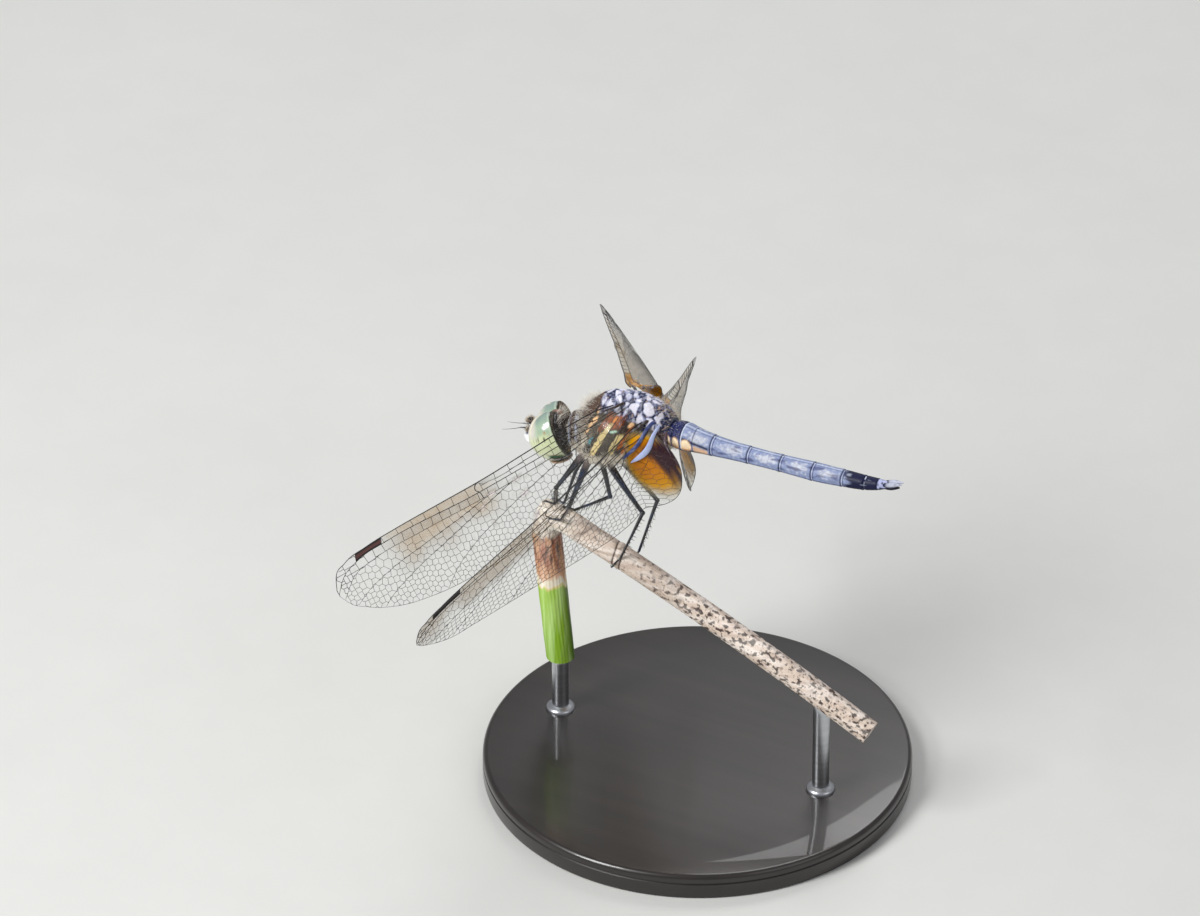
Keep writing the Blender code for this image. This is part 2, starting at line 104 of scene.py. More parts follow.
def aimed(name, data, target, way, distance):
    """A camera or a lamp that looks at a target from a distance."""
    made = in_scene(name, data)
    made.location = (target + way * distance) * MM
    made.rotation_euler = way.to_track_quat("Z", "Y").to_euler()
    return made


view_distance = VIEW_WIDTH * LENS / SENSOR
camera_data = bpy.data.cameras.new("camera")
camera_data.lens = LENS
camera_data.sensor_width = SENSOR
camera_data.clip_start = 0.01
camera_data.clip_end = 20.0
view_way = way_to(VIEW_AZIMUTH, VIEW_ELEVATION)
bpy.context.scene.camera = aimed("camera", camera_data, VIEW_TARGET, view_way, view_distance)
print("camera stands", round(view_distance), "mm away")

# %% [markdown]
# ## Light and floor
# Three soft area lights do the work of a small studio: a large key light high on the left, a
# broad fill on the right and a rim light from behind, which makes the wings and hairs glint. The
# floor is a plain pale sheet, far larger than the view, so that no edge of it shows.

# %% Lights and floor
LIGHTS = {
    # name: (azimuth, elevation, distance, width, height, watts)
    "key": (-31.0, 43.0, 420.0, 130.0, 260.0, 1.75),
    "fill": (80.0, 35.0, 520.0, 380.0, 380.0, 0.3),
    "rim": (190.0, 48.0, 460.0, 240.0, 240.0, 0.7),
}
AIM = Vector((-8.0, 0.0, 34.0))
SKY_COLOUR, SKY_STRENGTH = (0.93, 0.95, 1.0, 1.0), 0.33
FLOOR_REACH = 4000.0

for name, (azimuth, elevation, distance, wide, tall, watts) in LIGHTS.items():
    data = bpy.data.lights.new(name, "AREA")
    data.shape = "ELLIPSE"
    data.size = wide * MM
    data.size_y = tall * MM
    data.energy = watts
    aimed(name, data, AIM, way_to(azimuth, elevation), distance)

world = bpy.data.worlds.new("studio")
world.use_nodes = True
world.node_tree.nodes["Background"].inputs["Color"].default_value = SKY_COLOUR
world.node_tree.nodes["Background"].inputs["Strength"].default_value = SKY_STRENGTH
bpy.context.scene.world = world
bpy.context.scene.view_settings.view_transform = "Standard"

corners = [(x * FLOOR_REACH, y * FLOOR_REACH, 0.0) for x, y in ((-1, -1), (1, -1), (1, 1), (-1, 1))]
floor = in_scene("floor", new_mesh("floor", corners, [], [(0, 1, 2, 3)]))
floor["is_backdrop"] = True
print(len(LIGHTS), "lights")

# %% [markdown]
# ## Shared finishes
# Most surfaces of an insect need the same two things: a colour that varies a little from spot to
# spot, and a fine grain that breaks up the highlight. Two small node groups do that. "mottle"
# shifts a colour lighter and darker with noise and gives out a height for a Bump node. "fibres"
# draws long streaks along one axis, for plant stems. Both give out only colours and values, so
# the shader itself stays in each material.

# %% Nodes and node groups
def colour(red, green, blue):
    """A colour given the way painters' charts do, 0 to 255, as the linear values a shader needs."""
    return tuple((max(part, 0) / 255.0) ** 2.2 for part in (red, green, blue))


def add_node(tree, kind, inputs=None, **settings):
    """A new node with its settings. Inputs are values of its sockets, or outputs linked to them."""
    node = tree.nodes.new(kind)
    for label, value in settings.items():
        setattr(node, label, value)
    for label, value in (inputs or {}).items():
        socket = node.inputs[label]
        if isinstance(value, bpy.types.NodeSocket):
            tree.links.new(value, socket)
        else:
            socket.default_value = (*value, 1.0) if socket.type == "RGBA" else value
    return node


def math_node(tree, operation, first, second):
    return add_node(tree, "ShaderNodeMath", {0: first, 1: second}, operation=operation).outputs[0]


def mix_colour(tree, factor, first, second, blend="MIX"):
    inputs = {"Factor": factor, 6: first, 7: second}  # 6 and 7 are the sockets for colours
    return add_node(tree, "ShaderNodeMix", inputs, data_type="RGBA", blend_type=blend).outputs[2]


def noise_node(tree, vector, scale, detail=3.0):
    inputs = {"Vector": vector, "Scale": scale, "Detail": detail, "Roughness": 0.55}
    return add_node(tree, "ShaderNodeTexNoise", inputs).outputs[0]


def add_sockets(tree, way, sockets):
    for label, kind, *value in sockets:
        socket = tree.interface.new_socket(name=label, in_out=way, socket_type=f"NodeSocket{kind}")
        if value:
            socket.default_value = value[0]


def new_tree(name, kind, inputs, outputs):
    """An empty node tree with named sockets, each given as a label, a kind and perhaps a value."""
    tree = bpy.data.node_groups.new(name, kind)
    add_sockets(tree, "INPUT", inputs)
    add_sockets(tree, "OUTPUT", outputs)
    return tree, tree.nodes.new("NodeGroupInput"), tree.nodes.new("NodeGroupOutput")


mottle, start, end = new_tree(
    "mottle", "ShaderNodeTree",
    (("Vector", "Vector"), ("Colour", "Color"), ("Scale", "Float", 1500.0), ("Strength", "Float", 0.3)),
    (("Colour", "Color"), ("Height", "Float")),
)
vector, scale = start.outputs["Vector"], start.outputs["Scale"]
broad = noise_node(mottle, vector, scale)
fine = noise_node(mottle, vector, math_node(mottle, "MULTIPLY", scale, 5.0))
broad = math_node(mottle, "MULTIPLY", broad, 0.65)
both = math_node(mottle, "ADD", broad, math_node(mottle, "MULTIPLY", fine, 0.35))
spread = math_node(mottle, "MULTIPLY", start.outputs["Strength"], 4.0)
spread = math_node(mottle, "MULTIPLY", math_node(mottle, "SUBTRACT", both, 0.5), spread)
brightness = math_node(mottle, "ADD", spread, 1.0)
bright = add_node(mottle, "ShaderNodeHueSaturation", {"Value": brightness, "Color": start.outputs["Colour"]})
mottle.links.new(bright.outputs[0], end.inputs["Colour"])
mottle.links.new(both, end.inputs["Height"])

fibres, start, end = new_tree(
    "fibres", "ShaderNodeTree",
    (("Vector", "Vector"), ("Scale", "Float", 900.0), ("Stretch", "Vector", (1.0, 1.0, 0.04))),
    (("Streak", "Float"), ("Fine", "Float")),
)
scale = start.outputs["Scale"]
squeezed = {0: start.outputs["Vector"], 1: start.outputs["Stretch"]}
squeezed = add_node(fibres, "ShaderNodeVectorMath", squeezed, operation="MULTIPLY").outputs[0]
fibres.links.new(noise_node(fibres, squeezed, scale, 4.0), end.inputs["Streak"])
fine = noise_node(fibres, squeezed, math_node(fibres, "MULTIPLY", scale, 4.0))
fibres.links.new(fine, end.inputs["Fine"])
print("groups:", [group.name for group in bpy.data.node_groups])


# %% Making a material
def new_material(name, roughness=0.5, metallic=0.0, specular=0.5, coat=0.0):
    """A material with one Principled shader, whose constants sit on its own sockets."""
    made = bpy.data.materials.new(name)
    made.use_nodes = True
    shader = made.node_tree.nodes["Principled BSDF"]
    shader.inputs["Roughness"].default_value = roughness
    shader.inputs["Metallic"].default_value = metallic
    shader.inputs["Specular IOR Level"].default_value = specular
    shader.inputs["Coat Weight"].default_value = coat
    return made, made.node_tree, shader


def object_coordinates(tree):
    return tree.nodes.new("ShaderNodeTexCoord").outputs["Object"]


def attribute_node(tree, name, output="Color"):
    return add_node(tree, "ShaderNodeAttribute", attribute_name=name).outputs[output]


def use_group(tree, group, **inputs):
    """A group placed in a material on its Object coordinates, with its own values."""
    inputs["Vector"] = object_coordinates(tree)
    return add_node(tree, "ShaderNodeGroup", inputs, node_tree=group).outputs


def add_bump(tree, shader, height, strength, depth):
    """Depth is the height of the grain in millimetres."""
    inputs = {"Strength": strength, "Distance": depth * MM, "Height": height}
    tree.links.new(add_node(tree, "ShaderNodeBump", inputs).outputs[0], shader.inputs["Normal"])


def add_grain(tree, shader, base, scale, strength, bump, depth):
    """Mottles a base, which is a colour or another node's output, and gives it a fine grain."""
    grain = use_group(tree, mottle, Colour=base, Scale=scale, Strength=strength)
    tree.links.new(grain["Colour"], shader.inputs["Base Color"])
    add_bump(tree, shader, grain["Height"], bump, depth)


def grained(name, scale=2200.0, strength=0.2, bump=0.3, depth=0.012, **finish):
    """A mottled finish over the colours painted on the points of a piece."""
    made, tree, shader = new_material(name, **finish)
    add_grain(tree, shader, attribute_node(tree, "paint"), scale, strength, bump, depth)
    return made


def streaked(name, dark, light, scale, stretch, bump, depth, **finish):
    """A finish of two colours in long streaks."""
    made, tree, shader = new_material(name, **finish)
    streaks = use_group(tree, fibres, Scale=scale, Stretch=stretch)
    tree.links.new(mix_colour(tree, streaks["Streak"], dark, light), shader.inputs["Base Color"])
    add_bump(tree, shader, streaks["Fine"], bump, depth)
    return made


floor_finish, tree, shader = new_material("pale_floor", roughness=0.8)
add_grain(tree, shader, colour(206, 206, 202), 40.0, 0.03, 0.05, 0.03)
floor.data.materials.append(floor_finish)

# %% [markdown]
# ## From tables to surfaces
# Nearly every part of an insect is a tube that swells and tapers. So most pieces here are lofts:
# rings of points set one behind the other and joined into one closed skin. A short table gives
# the sizes at a few places, and a smooth curve through its rows gives them everywhere else.
# Colours are painted per point by small functions of the place on the body, because markings
# such as stripes follow the body. They are laid on one after the other, as coats of paint are.

# %% Reading tables and laying on colours
def smooth_table(table, x):
    """Reads a table of (x, values...) along a smooth curve through its rows, for an array of x."""
    table = np.asarray(table, float)
    keys, values = table[:, 0], table[:, 1:]
    x = np.clip(np.asarray(x, float), keys[0], keys[-1])
    k = np.clip(np.searchsorted(keys, x, side="right") - 1, 0, len(keys) - 2)
    slopes = np.gradient(values, keys, axis=0)
    span = (keys[k + 1] - keys[k])[..., None]
    t = ((x - keys[k])[..., None]) / span
    a, b = values[k], values[k + 1]
    return (
        a * (1 + 2 * t) * (1 - t) ** 2
        + slopes[k] * span * t * (1 - t) ** 2
        + b * t * t * (3 - 2 * t)
        - slopes[k + 1] * span * t * t * (1 - t)
    )


def clamp(value):
    return np.clip(value, 0, 1)


def band(value, low, high, soft):
    """1 between low and high, falling to 0 over soft on both sides."""
    both = clamp((value - low) / soft + 0.5) * clamp((high - value) / soft + 0.5)
    return both * both * (3 - 2 * both)


def step(value, edge, soft):
    """0 below the edge and 1 above it, over a width of soft."""
    t = clamp((value - edge) / soft + 0.5)
    return t * t * (3 - 2 * t)


def hump(value, width):
    """1 where the value is 0, fading out over the width on both sides."""
    return np.exp(-((value / width) ** 2))


def plain(shade, count):
    """One colour for each of a number of points."""
    return np.tile(np.array(shade), (count, 1))


def over(paint, *coats):
    """Lays coats (mask, colour) over a paint, one after the other: each covers where its mask is 1."""
    for mask, shade in coats:
        paint = paint * (1 - mask[:, None]) + np.asarray(shade) * mask[:, None]
    return paint


def wander(points, size, shift=0.0):
    """Smooth noise from -1 to 1 at each point, its lumps about size across."""
    return np.array([noise.noise(Vector(point) / size + Vector((shift, shift, shift))) for point in points])


def scribbles(points, size, shift, width):
    """Thin lines that wander over a skin: 1 on a line and 0 off it."""
    return clamp(1 - np.abs(wander(points, size, shift)) / width)


# %% Lofts and pieces
def loft_faces(rings, sides):
    """Faces of a closed tube whose points run ring by ring, with its two ends filled."""
    faces = []
    for i in range(rings - 1):
        for j in range(sides):
            k = (j + 1) % sides
            faces.append((i * sides + j, i * sides + k, (i + 1) * sides + k, (i + 1) * sides + j))
    faces.append(tuple(range(sides - 1, -1, -1)))
    faces.append(tuple(range((rings - 1) * sides, rings * sides)))
    return faces


def ring_turns(sides):
    """The angles of the points of one ring."""
    return np.linspace(0, TURN, sides, endpoint=False)


ROUND_END = (0.5, 1.0, 1.45)  # angles of the rings that round off a tube's end


def tube(path, radii, sides=12, flat=1.0, up=(0.0, 0.0, 1.0)):
    """Points and faces of a tube along a path, rounded at both ends."""
    path = np.asarray(path, float)
    radii = np.broadcast_to(np.asarray(radii, float), (len(path),)).copy()
    ahead = np.gradient(path, axis=0)
    ahead /= np.linalg.norm(ahead, axis=1)[:, None]
    side = np.cross(ahead, np.asarray(up, float))
    side /= np.linalg.norm(side, axis=1)[:, None]
    above = np.cross(side, ahead)
    rings = [(path[k], radii[k], k) for k in range(len(path))]
    for angle in ROUND_END:
        far, wide = math.sin(angle), math.cos(angle)
        rings.insert(0, (path[0] - ahead[0] * radii[0] * far, radii[0] * wide, 0))
        rings.append((path[-1] + ahead[-1] * radii[-1] * far, radii[-1] * wide, -1))
    turn = ring_turns(sides)
    points = []
    for centre, radius, k in rings:
        across = np.sin(turn)[:, None] * side[k] + np.cos(turn)[:, None] * above[k] * flat
        points.append(centre + radius * across)
    return np.concatenate(points), loft_faces(len(points), sides)


def ball(columns=24, rows=16):
    """Points and faces of a ball of radius 1 with its poles on the X axis."""
    turn = ring_turns(columns)
    points = []
    for angle in np.linspace(0.06, math.pi - 0.06, rows):
        wide = math.sin(angle)
        along = np.full(columns, -math.cos(angle))
        points.append(np.stack([along, wide * np.sin(turn), wide * np.cos(turn)], 1))
    return np.concatenate(points), loft_faces(rows, columns)


def joined(parts):
    """Several (points, faces) made into one."""
    points, faces, offset = [], [], 0
    for some_points, some_faces in parts:
        points.append(some_points)
        faces.extend(tuple(index + offset for index in face) for face in some_faces)
        offset += len(some_points)
    return np.concatenate(points), faces


def moved(matrix, points):
    """Points carried by a matrix, as an array."""
    points = np.asarray(points, float)
    turn = np.array(matrix.to_3x3())
    return points @ turn.T + np.array(matrix.translation)


VALUE_FIELDS = {"FLOAT": "value", "FLOAT_VECTOR": "vector", "FLOAT_COLOR": "color"}


def store(mesh, name, kind, values):
    """Stores a value on each point of a mesh."""
    layer = mesh.attributes.new(name, kind, "POINT")
    layer.data.foreach_set(VALUE_FIELDS[kind], np.asarray(values, float).ravel())


def store_paint(mesh, paint):
    rgba = np.ones((len(paint), 4))
    rgba[:, :3] = clamp(paint)
    store(mesh, "paint", "FLOAT_COLOR", rgba)


MERGE_GAP = 0.002  # points closer than this are one point


def face_outwards(mesh, merge=False):
    """Turns all faces outwards, once points that lie on each other are merged where asked."""
    bm = bmesh.new()
    bm.from_mesh(mesh)
    if merge:
        bmesh.ops.remove_doubles(bm, verts=bm.verts, dist=MERGE_GAP * MM)
        bmesh.ops.dissolve_degenerate(bm, dist=MERGE_GAP * MM, edges=bm.edges)
    bmesh.ops.recalc_face_normals(bm, faces=bm.faces)
    bm.to_mesh(mesh)
    bm.free()


def add_piece(name, points, faces, finish, paint=None, masks=None):
    """A closed mesh in millimetres becomes an object in metres that rides on the model."""
    mesh = new_mesh(name, points, [], faces)
    face_outwards(mesh)
    mesh.materials.append(finish)
    if paint is not None:
        store_paint(mesh, paint)
    for key, values in (masks or {}).items():
        store(mesh, key, "FLOAT", values)
    mesh.shade_smooth()
    mesh.set_sharp_from_angle(angle=math.radians(50))
    made = in_scene(name, mesh)
    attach(made, "root")
    print(name, len(mesh.polygons), "faces")
    return made


def stand_in(piece, slot, *nodes):
    """Hides the plain solids that a piece stands in for."""
    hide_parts(*nodes)

# %% [markdown]
# ## The body's own frame
# The body leans six degrees nose up, and the head is turned to its right, tilted and nodded. Each
# part of the body is made in its own straight frame, where a formula for it stays short, and is
# then carried into place by one matrix. The same matrices place the plain solids.

# %% Frames of the body and head
def placed(location, roll=0.0, pitch=0.0, turn=0.0):
    """A frame whose X axis points back along the body. Angles are in degrees."""
    angles = Euler((math.radians(roll), -math.radians(pitch), math.radians(turn)))
    return Matrix.Translation(location) @ angles.to_matrix().to_4x4()


BODY = placed((-8.0, 0.0, 39.5), pitch=6.0)
HEAD = BODY @ placed((-7.39, 0.0, -5.02), roll=-9.8, pitch=14.0, turn=15.7)
TO_BODY, TO_HEAD = BODY.inverted(), HEAD.inverted()
SKIN_INSET = 0.04  # the skin lies this far inside the solid, under the coat of hair
print("body frame at", [round(v, 2) for v in BODY.translation])
print("head frame at", [round(v, 2) for v in HEAD.translation])


def oval_rings(table, places, sides, taper=0.0, inset=0.0):
    """Rings of an upright oval body. Table rows are x, top, bottom, half width."""
    rows = smooth_table(table, places)
    turn = ring_turns(sides)
    top, bottom, half = rows[:, 0] - inset, rows[:, 1] + inset, rows[:, 2] - inset
    middle, tall = (top + bottom) / 2, (top - bottom) / 2
    y = half[:, None] * np.sin(turn) * (1 - taper * np.cos(turn))
    z = middle[:, None] + tall[:, None] * np.cos(turn)
    x = np.broadcast_to(np.asarray(places)[:, None], y.shape)
    return np.stack([x, y, z], 2).reshape(-1, 3), np.tile(turn, len(places))


def dome_places(start, end, count):
    """Places along the body, closer together towards both ends."""
    t = np.linspace(0, 1, count)
    return start + (end - start) * (0.5 - 0.5 * np.cos(math.pi * t)) * 0.35 + (end - start) * t * 0.65


def swollen(points, turn, swell):
    """Points of upright rings moved away from the body's axis."""
    return points + np.stack([np.zeros(len(turn)), np.sin(turn), np.cos(turn)], 1) * swell[:, None]


# %% Colours of the body
NAVY = colour(26, 32, 62)
POWDER = colour(156, 160, 188)
LAVENDER = colour(133, 144, 177)
MILK = colour(204, 212, 228)
CREAM = colour(228, 204, 140)
PEACH = colour(238, 190, 138)
AMBER = colour(206, 108, 8)
BROWN = colour(44, 29, 20)
UMBER = colour(78, 58, 48)
PLUM = colour(70, 50, 56)
TEAL = colour(56, 120, 132)
MINT_HIGHLIGHT = colour(196, 236, 214)
FLUFF = colour(208, 198, 180)
INK = colour(9, 18, 54)


def darker(shade, part):
    return tuple(part * value for value in shade)


# %% [markdown]
# ## The thorax
# The thorax is the dragonfly's engine room, a deep box of plates that leans back. On top, between
# the wings, lie small swollen plates with dark grooves between them, dusted powder blue. Its
# flanks carry slanting stripes of brown and cream. It could be one plate at a time, but the plates
# share one skin, so it is one loft, pushed out and painted point by point. The plates on top
# are cells around a few dozen seed points: each point of the skin belongs to its nearest seed, and
# the nearer it is to the border between two seeds, the deeper it lies and the darker it is. That
# darkness in the grooves is partly painted shade, and the whitest dust on each plate's crown is
# partly a painted highlight.

# %% The thorax's shape
THORAX = (
    # x, top z, bottom z, half width
    (-4.2, -2.7, -6.1, 1.0), (-3.9, -1.8, -6.9, 1.6), (-3.1, -0.9, -7.35, 2.05), (-2.0, 0.0, -7.35, 2.35),
    (-0.8, 0.6, -7.0, 2.5), (0.8, 0.8, -6.6, 2.5), (2.4, 0.75, -5.9, 2.4), (3.6, 0.4, -5.3, 2.15),
    (4.6, -0.25, -4.7, 1.75), (5.1, -0.9, -4.3, 1.35),
)
THORAX_TAPER = 0.3
THORAX_RINGS, THORAX_SIDES = 200, 300
thorax_places = dome_places(THORAX[0][0], THORAX[-1][0], THORAX_RINGS)
skin, skin_turn = oval_rings(THORAX, thorax_places, THORAX_SIDES, THORAX_TAPER, SKIN_INSET)
print("thorax skin", len(skin), "points")

# %% Plates on top of the thorax
PLATES = (
    # x, y, size, dusting: each plate off the midline has a twin on the other side
    (-1.5, 0.45, 0.6, 0.5), (-1.05, 0.0, 0.5, 0.8), (-1.0, 1.6, 0.5, 0.4), (-0.56, 1.12, 0.7, 0.9),
    (-0.1, 0.36, 0.65, 1.0), (0.28, 0.86, 0.62, 1.0), (0.31, 1.47, 0.7, 0.85), (0.75, 0.0, 0.55, 0.9),
    (1.02, 0.55, 0.62, 0.9), (0.95, 1.12, 0.5, 0.85), (1.2, 1.8, 0.6, 0.7), (1.83, 1.31, 0.72, 0.95),
    (1.65, 0.25, 0.6, 0.85), (2.3, 0.72, 0.68, 1.0), (2.67, 1.75, 0.75, 0.9), (3.23, 1.05, 0.8, 0.95),
    (2.85, 0.2, 0.6, 0.9), (3.65, 1.85, 0.85, 1.0), (3.75, 0.42, 0.7, 0.95), (4.25, 1.1, 0.65, 0.85),
    (4.55, 0.3, 0.5, 0.7), (2.0, 2.0, 0.5, 0.5), (4.3, 1.75, 0.5, 0.6),
)
PLATE_SCALE = 0.88
SMALL_PLATES = 80  # little bits in between, the same on each run
SMALLEST, LARGEST = (-1.5, -2.1, 0.2, 0.1), (4.9, 2.1, 0.42, 1.0)
seeds = []
for x, y, size, dust in PLATES:
    seeds.append((x, y, PLATE_SCALE * size, dust))
    if y:
        seeds.append((x + 0.06 * math.sin(7 * y), -y, PLATE_SCALE * size, dust))
seeds.extend(np.random.default_rng(4).uniform(SMALLEST, LARGEST, (SMALL_PLATES, 4)))
seeds = np.array(seeds)


def plate_cells(points):
    """For each point: depth inside its plate, 0 at the border, and how dusted that plate is."""
    warp = 0.34 * np.stack([wander(points, 0.8, 3.1), wander(points, 0.8, 8.2)], 1)
    warp += 0.07 * np.stack([wander(points, 0.22, 5.1), wander(points, 0.22, 1.2)], 1)
    flat = points[:, :2] + warp
    gaps = np.linalg.norm(flat[:, None, :] - seeds[None, :, :2], axis=2) / seeds[None, :, 2]
    order = np.argsort(gaps, axis=1)[:, :2]
    first, second = np.take_along_axis(gaps, order, 1).T
    size, dust = seeds[order[:, 0], 2:].T
    bridges = 0.09 * clamp(wander(points, 0.6, 27.0) * 2)
    return np.minimum((second - first) * 0.5, 0.66 - first) * size + bridges, dust


# %% Where each point of the skin lies
SUTURES = (-3.4, -1.75, 0.12, 2.2)  # where the flank's grooves run, in the slanted coordinate
x, y, z = skin.T
rows = smooth_table(THORAX, x)
middle, tall = (rows[:, 0] + rows[:, 1]) / 2, (rows[:, 0] - rows[:, 1]) / 2
height = (z - middle) / tall  # 1 on top, -1 beneath
fine = wander(skin, 0.2, 11.0)
soft = wander(skin, 0.5)
broad = wander(skin, 1.4, 5.0)
top = step(height + soft * 0.05, 0.6 - 0.085 * np.clip(x, 0, 5), 0.1) * step(x + soft * 0.2, -1.7, 0.4)
inside, dusting = plate_cells(skin)
lean = x - 0.62 * (z + 3.2)  # constant along the flank's grooves, which lean back as they rise
lean = lean + soft * 0.12 + broad * 0.1
suture = np.max([clamp(1 - np.abs(lean - place) / 0.1) for place in SUTURES], axis=0)
suture *= (1 - top) * step(x, -3.6, 0.4)


def flank_spot(at_lean, at_height, half_lean, half_height, edge=0.5):
    """A soft-edged oval on the flank."""
    far = np.hypot((lean - at_lean) / half_lean, (height - at_height) / half_height)
    return clamp((1 + edge / 2 - far) / edge)


def flank_bar(from_lean, to_lean, soft_lean, from_height, to_height, soft_height=0.1):
    """A soft-edged slanted bar on the flank."""
    return band(lean, from_lean, to_lean, soft_lean) * band(height, from_height, to_height, soft_height)


# %% The flank's stripes and spots
rust_bar = band(lean, -1.95, 0.1, 0.3) * band(height + soft * 0.08, 0.2, 0.62, 0.14)
rust_line = band(lean - 0.5 * height, -1.5, -1.36, 0.1) * band(height, 0.2, 0.6, 0.1) * 0.8
stripe_half = 0.32 - 0.3 * (height + 0.05) * (height > -0.05) + 0.05 * soft
cream_stripe = clamp((stripe_half - np.abs(lean + 1.12)) / 0.1 + 0.5) * band(height, -0.48, 0.34, 0.1)
low = 1 - step(height + soft * 0.1, -0.5, 0.25)
low_front = (1 - step(lean, -2.35, 0.5)) * (1 - step(height + soft * 0.1, 0.12, 0.3)) * 0.85
stripes = over(
    plain(BROWN, len(x)),
    (1 - step(lean, -3.4, 0.3), UMBER),
    (flank_spot(-2.98, 0.72, 0.2, 0.1), PEACH),
    (flank_spot(-2.98, 0.45, 0.24, 0.1), PEACH),
    (flank_spot(-2.98, 0.25, 0.16, 0.09), PEACH),
    (rust_bar, colour(150, 66, 12)),
    (flank_spot(-0.95, 0.43, 0.22, 0.06, 1.0), colour(255, 150, 60)),
    (rust_line, BROWN),
    (cream_stripe, CREAM),
    (flank_spot(-2.04, -0.04, 0.2, 0.1), TEAL),
    (flank_bar(0.2, 0.85, 0.15, -0.5, 0.08), darker(CREAM, 0.8)),
    (flank_spot(0.86, 0.33, 0.24, 0.07), PEACH),
    (flank_spot(0.25, 0.52, 0.3, 0.09), colour(38, 30, 58)),
    (flank_bar(0.95, 1.25, 0.12, -0.3, 0.3), darker(AMBER, 0.6)),
    (flank_bar(1.5, 1.85, 0.12, -0.62, 0.1), AMBER),
    (flank_bar(1.98, 2.4, 0.12, -0.62, 0.3), colour(38, 54, 116)),
    (step(lean, 2.7, 0.3), PLUM),
    (scribbles(skin, 0.8, 33.0, 0.035) * step(lean, 2.8, 0.3) * 0.6, colour(176, 170, 190)),
    # painted highlight: a thin mint glint across the flank
    (flank_spot(-0.42, 0.15, 0.34, 0.035, 0.8), MINT_HIGHLIGHT),
    (np.maximum(low, low_front), FLUFF),
    (clamp(fine * 2.2) * 0.08, FLUFF),
)

# %% The dusted plates, with painted shade in the grooves and a painted highlight on each crown
# the dust grows towards the middle of each plate: the bare navy left in the grooves is partly painted shade,
# and the white coat on each crown is dust and a painted highlight
blue_dust = clamp(inside / 0.05 - 0.25 + wander(skin, 0.3, 2.0) * 0.6) * dusting
white_dust_and_highlight = clamp(inside / 0.09 - 0.6 + wander(skin, 0.2, 6.0) * 0.9) * dusting
plates = over(
    plain(NAVY, len(x)),
    (clamp(fine * 1.8) * 0.5, POWDER),
    (blue_dust, POWDER),
    (white_dust_and_highlight * 0.75, colour(224, 221, 228)),
    (clamp(wander(skin, 0.28, 43.0) * 3 - 1.2) * (1 - blue_dust), colour(170, 140, 120)),
)
paint = stripes * (1 - top[:, None]) + plates * top[:, None]
paint = paint * (1 - 0.7 * suture[:, None])
swell = top * (0.11 * clamp(inside / 0.07) ** 0.6 - 0.12 + fine * 0.04)
swell += (1 - top) * (wander(skin, 0.9, 1.0) * 0.03)
swell -= suture * 0.09
thorax_finish = grained(
    "thorax_skin", strength=0.16, bump=0.35, depth=0.02, roughness=0.5, coat=0.05, specular=0.35
)
skin = moved(BODY, swollen(skin, skin_turn, swell))
thorax = add_piece("thorax_skin", skin, loft_faces(THORAX_RINGS, THORAX_SIDES), thorax_finish, paint)
stand_in(thorax, "thorax", "thorax")

# %% [markdown]
# ## Collar and neck
# In front of the thorax sits a small collar, the prothorax, made of lumpy plates that carry the
# forelegs, and the head hangs on it by a thin neck. They are separate small lofts that sink into
# the thorax, so no gap shows between them.

# %% Collar and neck
PROTHORAX = (
    # x, top z, bottom z, half width
    (-5.7, -3.5, -5.7, 0.85), (-5.5, -2.9, -6.25, 1.25), (-4.9, -2.45, -6.8, 1.6),
    (-4.2, -2.15, -7.0, 1.75), (-3.6, -2.0, -6.9, 1.65),
)
COLLAR_LOBES = ((-5.45, 0.16), (-4.95, -0.12), (-4.55, 0.14), (-4.05, -0.1))  # place, height
COLLAR_RINGS, COLLAR_SIDES, COLLAR_TAPER = 60, 110, 0.1
NECK = (
    # x, z, radius
    (-7.0, -4.8, 0.5), (-6.6, -4.76, 0.42), (-6.2, -4.72, 0.4), (-5.76, -4.7, 0.48), (-5.3, -4.7, 0.55),
)
collar_places = dome_places(-5.7, -3.6, COLLAR_RINGS)
points, turn = oval_rings(PROTHORAX, collar_places, COLLAR_SIDES, COLLAR_TAPER, SKIN_INSET + 0.08)
x, y, z = points.T
ridge = np.zeros(len(x))
for place, height in COLLAR_LOBES:
    ridge += height * hump(x - place + 0.15 * np.cos(2 * turn), 0.2)
lumps = wander(points, 0.5, 4.0) + 0.5 * wander(points, 0.22, 6.0)
points = swollen(points, turn, ridge * (0.6 + 0.4 * np.cos(turn)) + lumps * 0.1)
paint = over(
    plain(UMBER, len(x)),
    (clamp(ridge * 5 + lumps * 0.6), colour(128, 132, 140)),
    (clamp(ridge * 5 - 0.3 + lumps) * step(z, -5.0, 1.0), colour(140, 148, 168)),
    (clamp(-0.2 - lumps * 2) * 0.7, colour(28, 24, 30)),
    (clamp(-ridge * 9) * 0.8, BROWN),
    ((1 - step(z + lumps * 0.4, -5.1, 0.8)) * 0.8, FLUFF),
)
neck_points, neck_faces = tube([(x, 0.0, z) for x, z, _ in NECK], [row[2] for row in NECK], 20)
paint = np.concatenate([paint, plain(darker(FLUFF, 0.8), len(neck_points))])
points, faces = joined(((points, loft_faces(COLLAR_RINGS, COLLAR_SIDES)), (neck_points, neck_faces)))
collar = add_piece("collar_skin", moved(BODY, points), faces, thorax_finish, paint)
stand_in(collar, "thorax", "prothorax", "neck")

# %% [markdown]
# ## The abdomen
# The abdomen is ten rings of one tube, each tucked under the ring in front. A dark raised line runs
# along its back and its joints show as fine dark rings. It is dusted pale blue, with navy showing
# where the dust has worn off, and turns black near the tip. One continuous loft holds all ten
# rings, and the joints, ridges and markings are functions of the place along it.

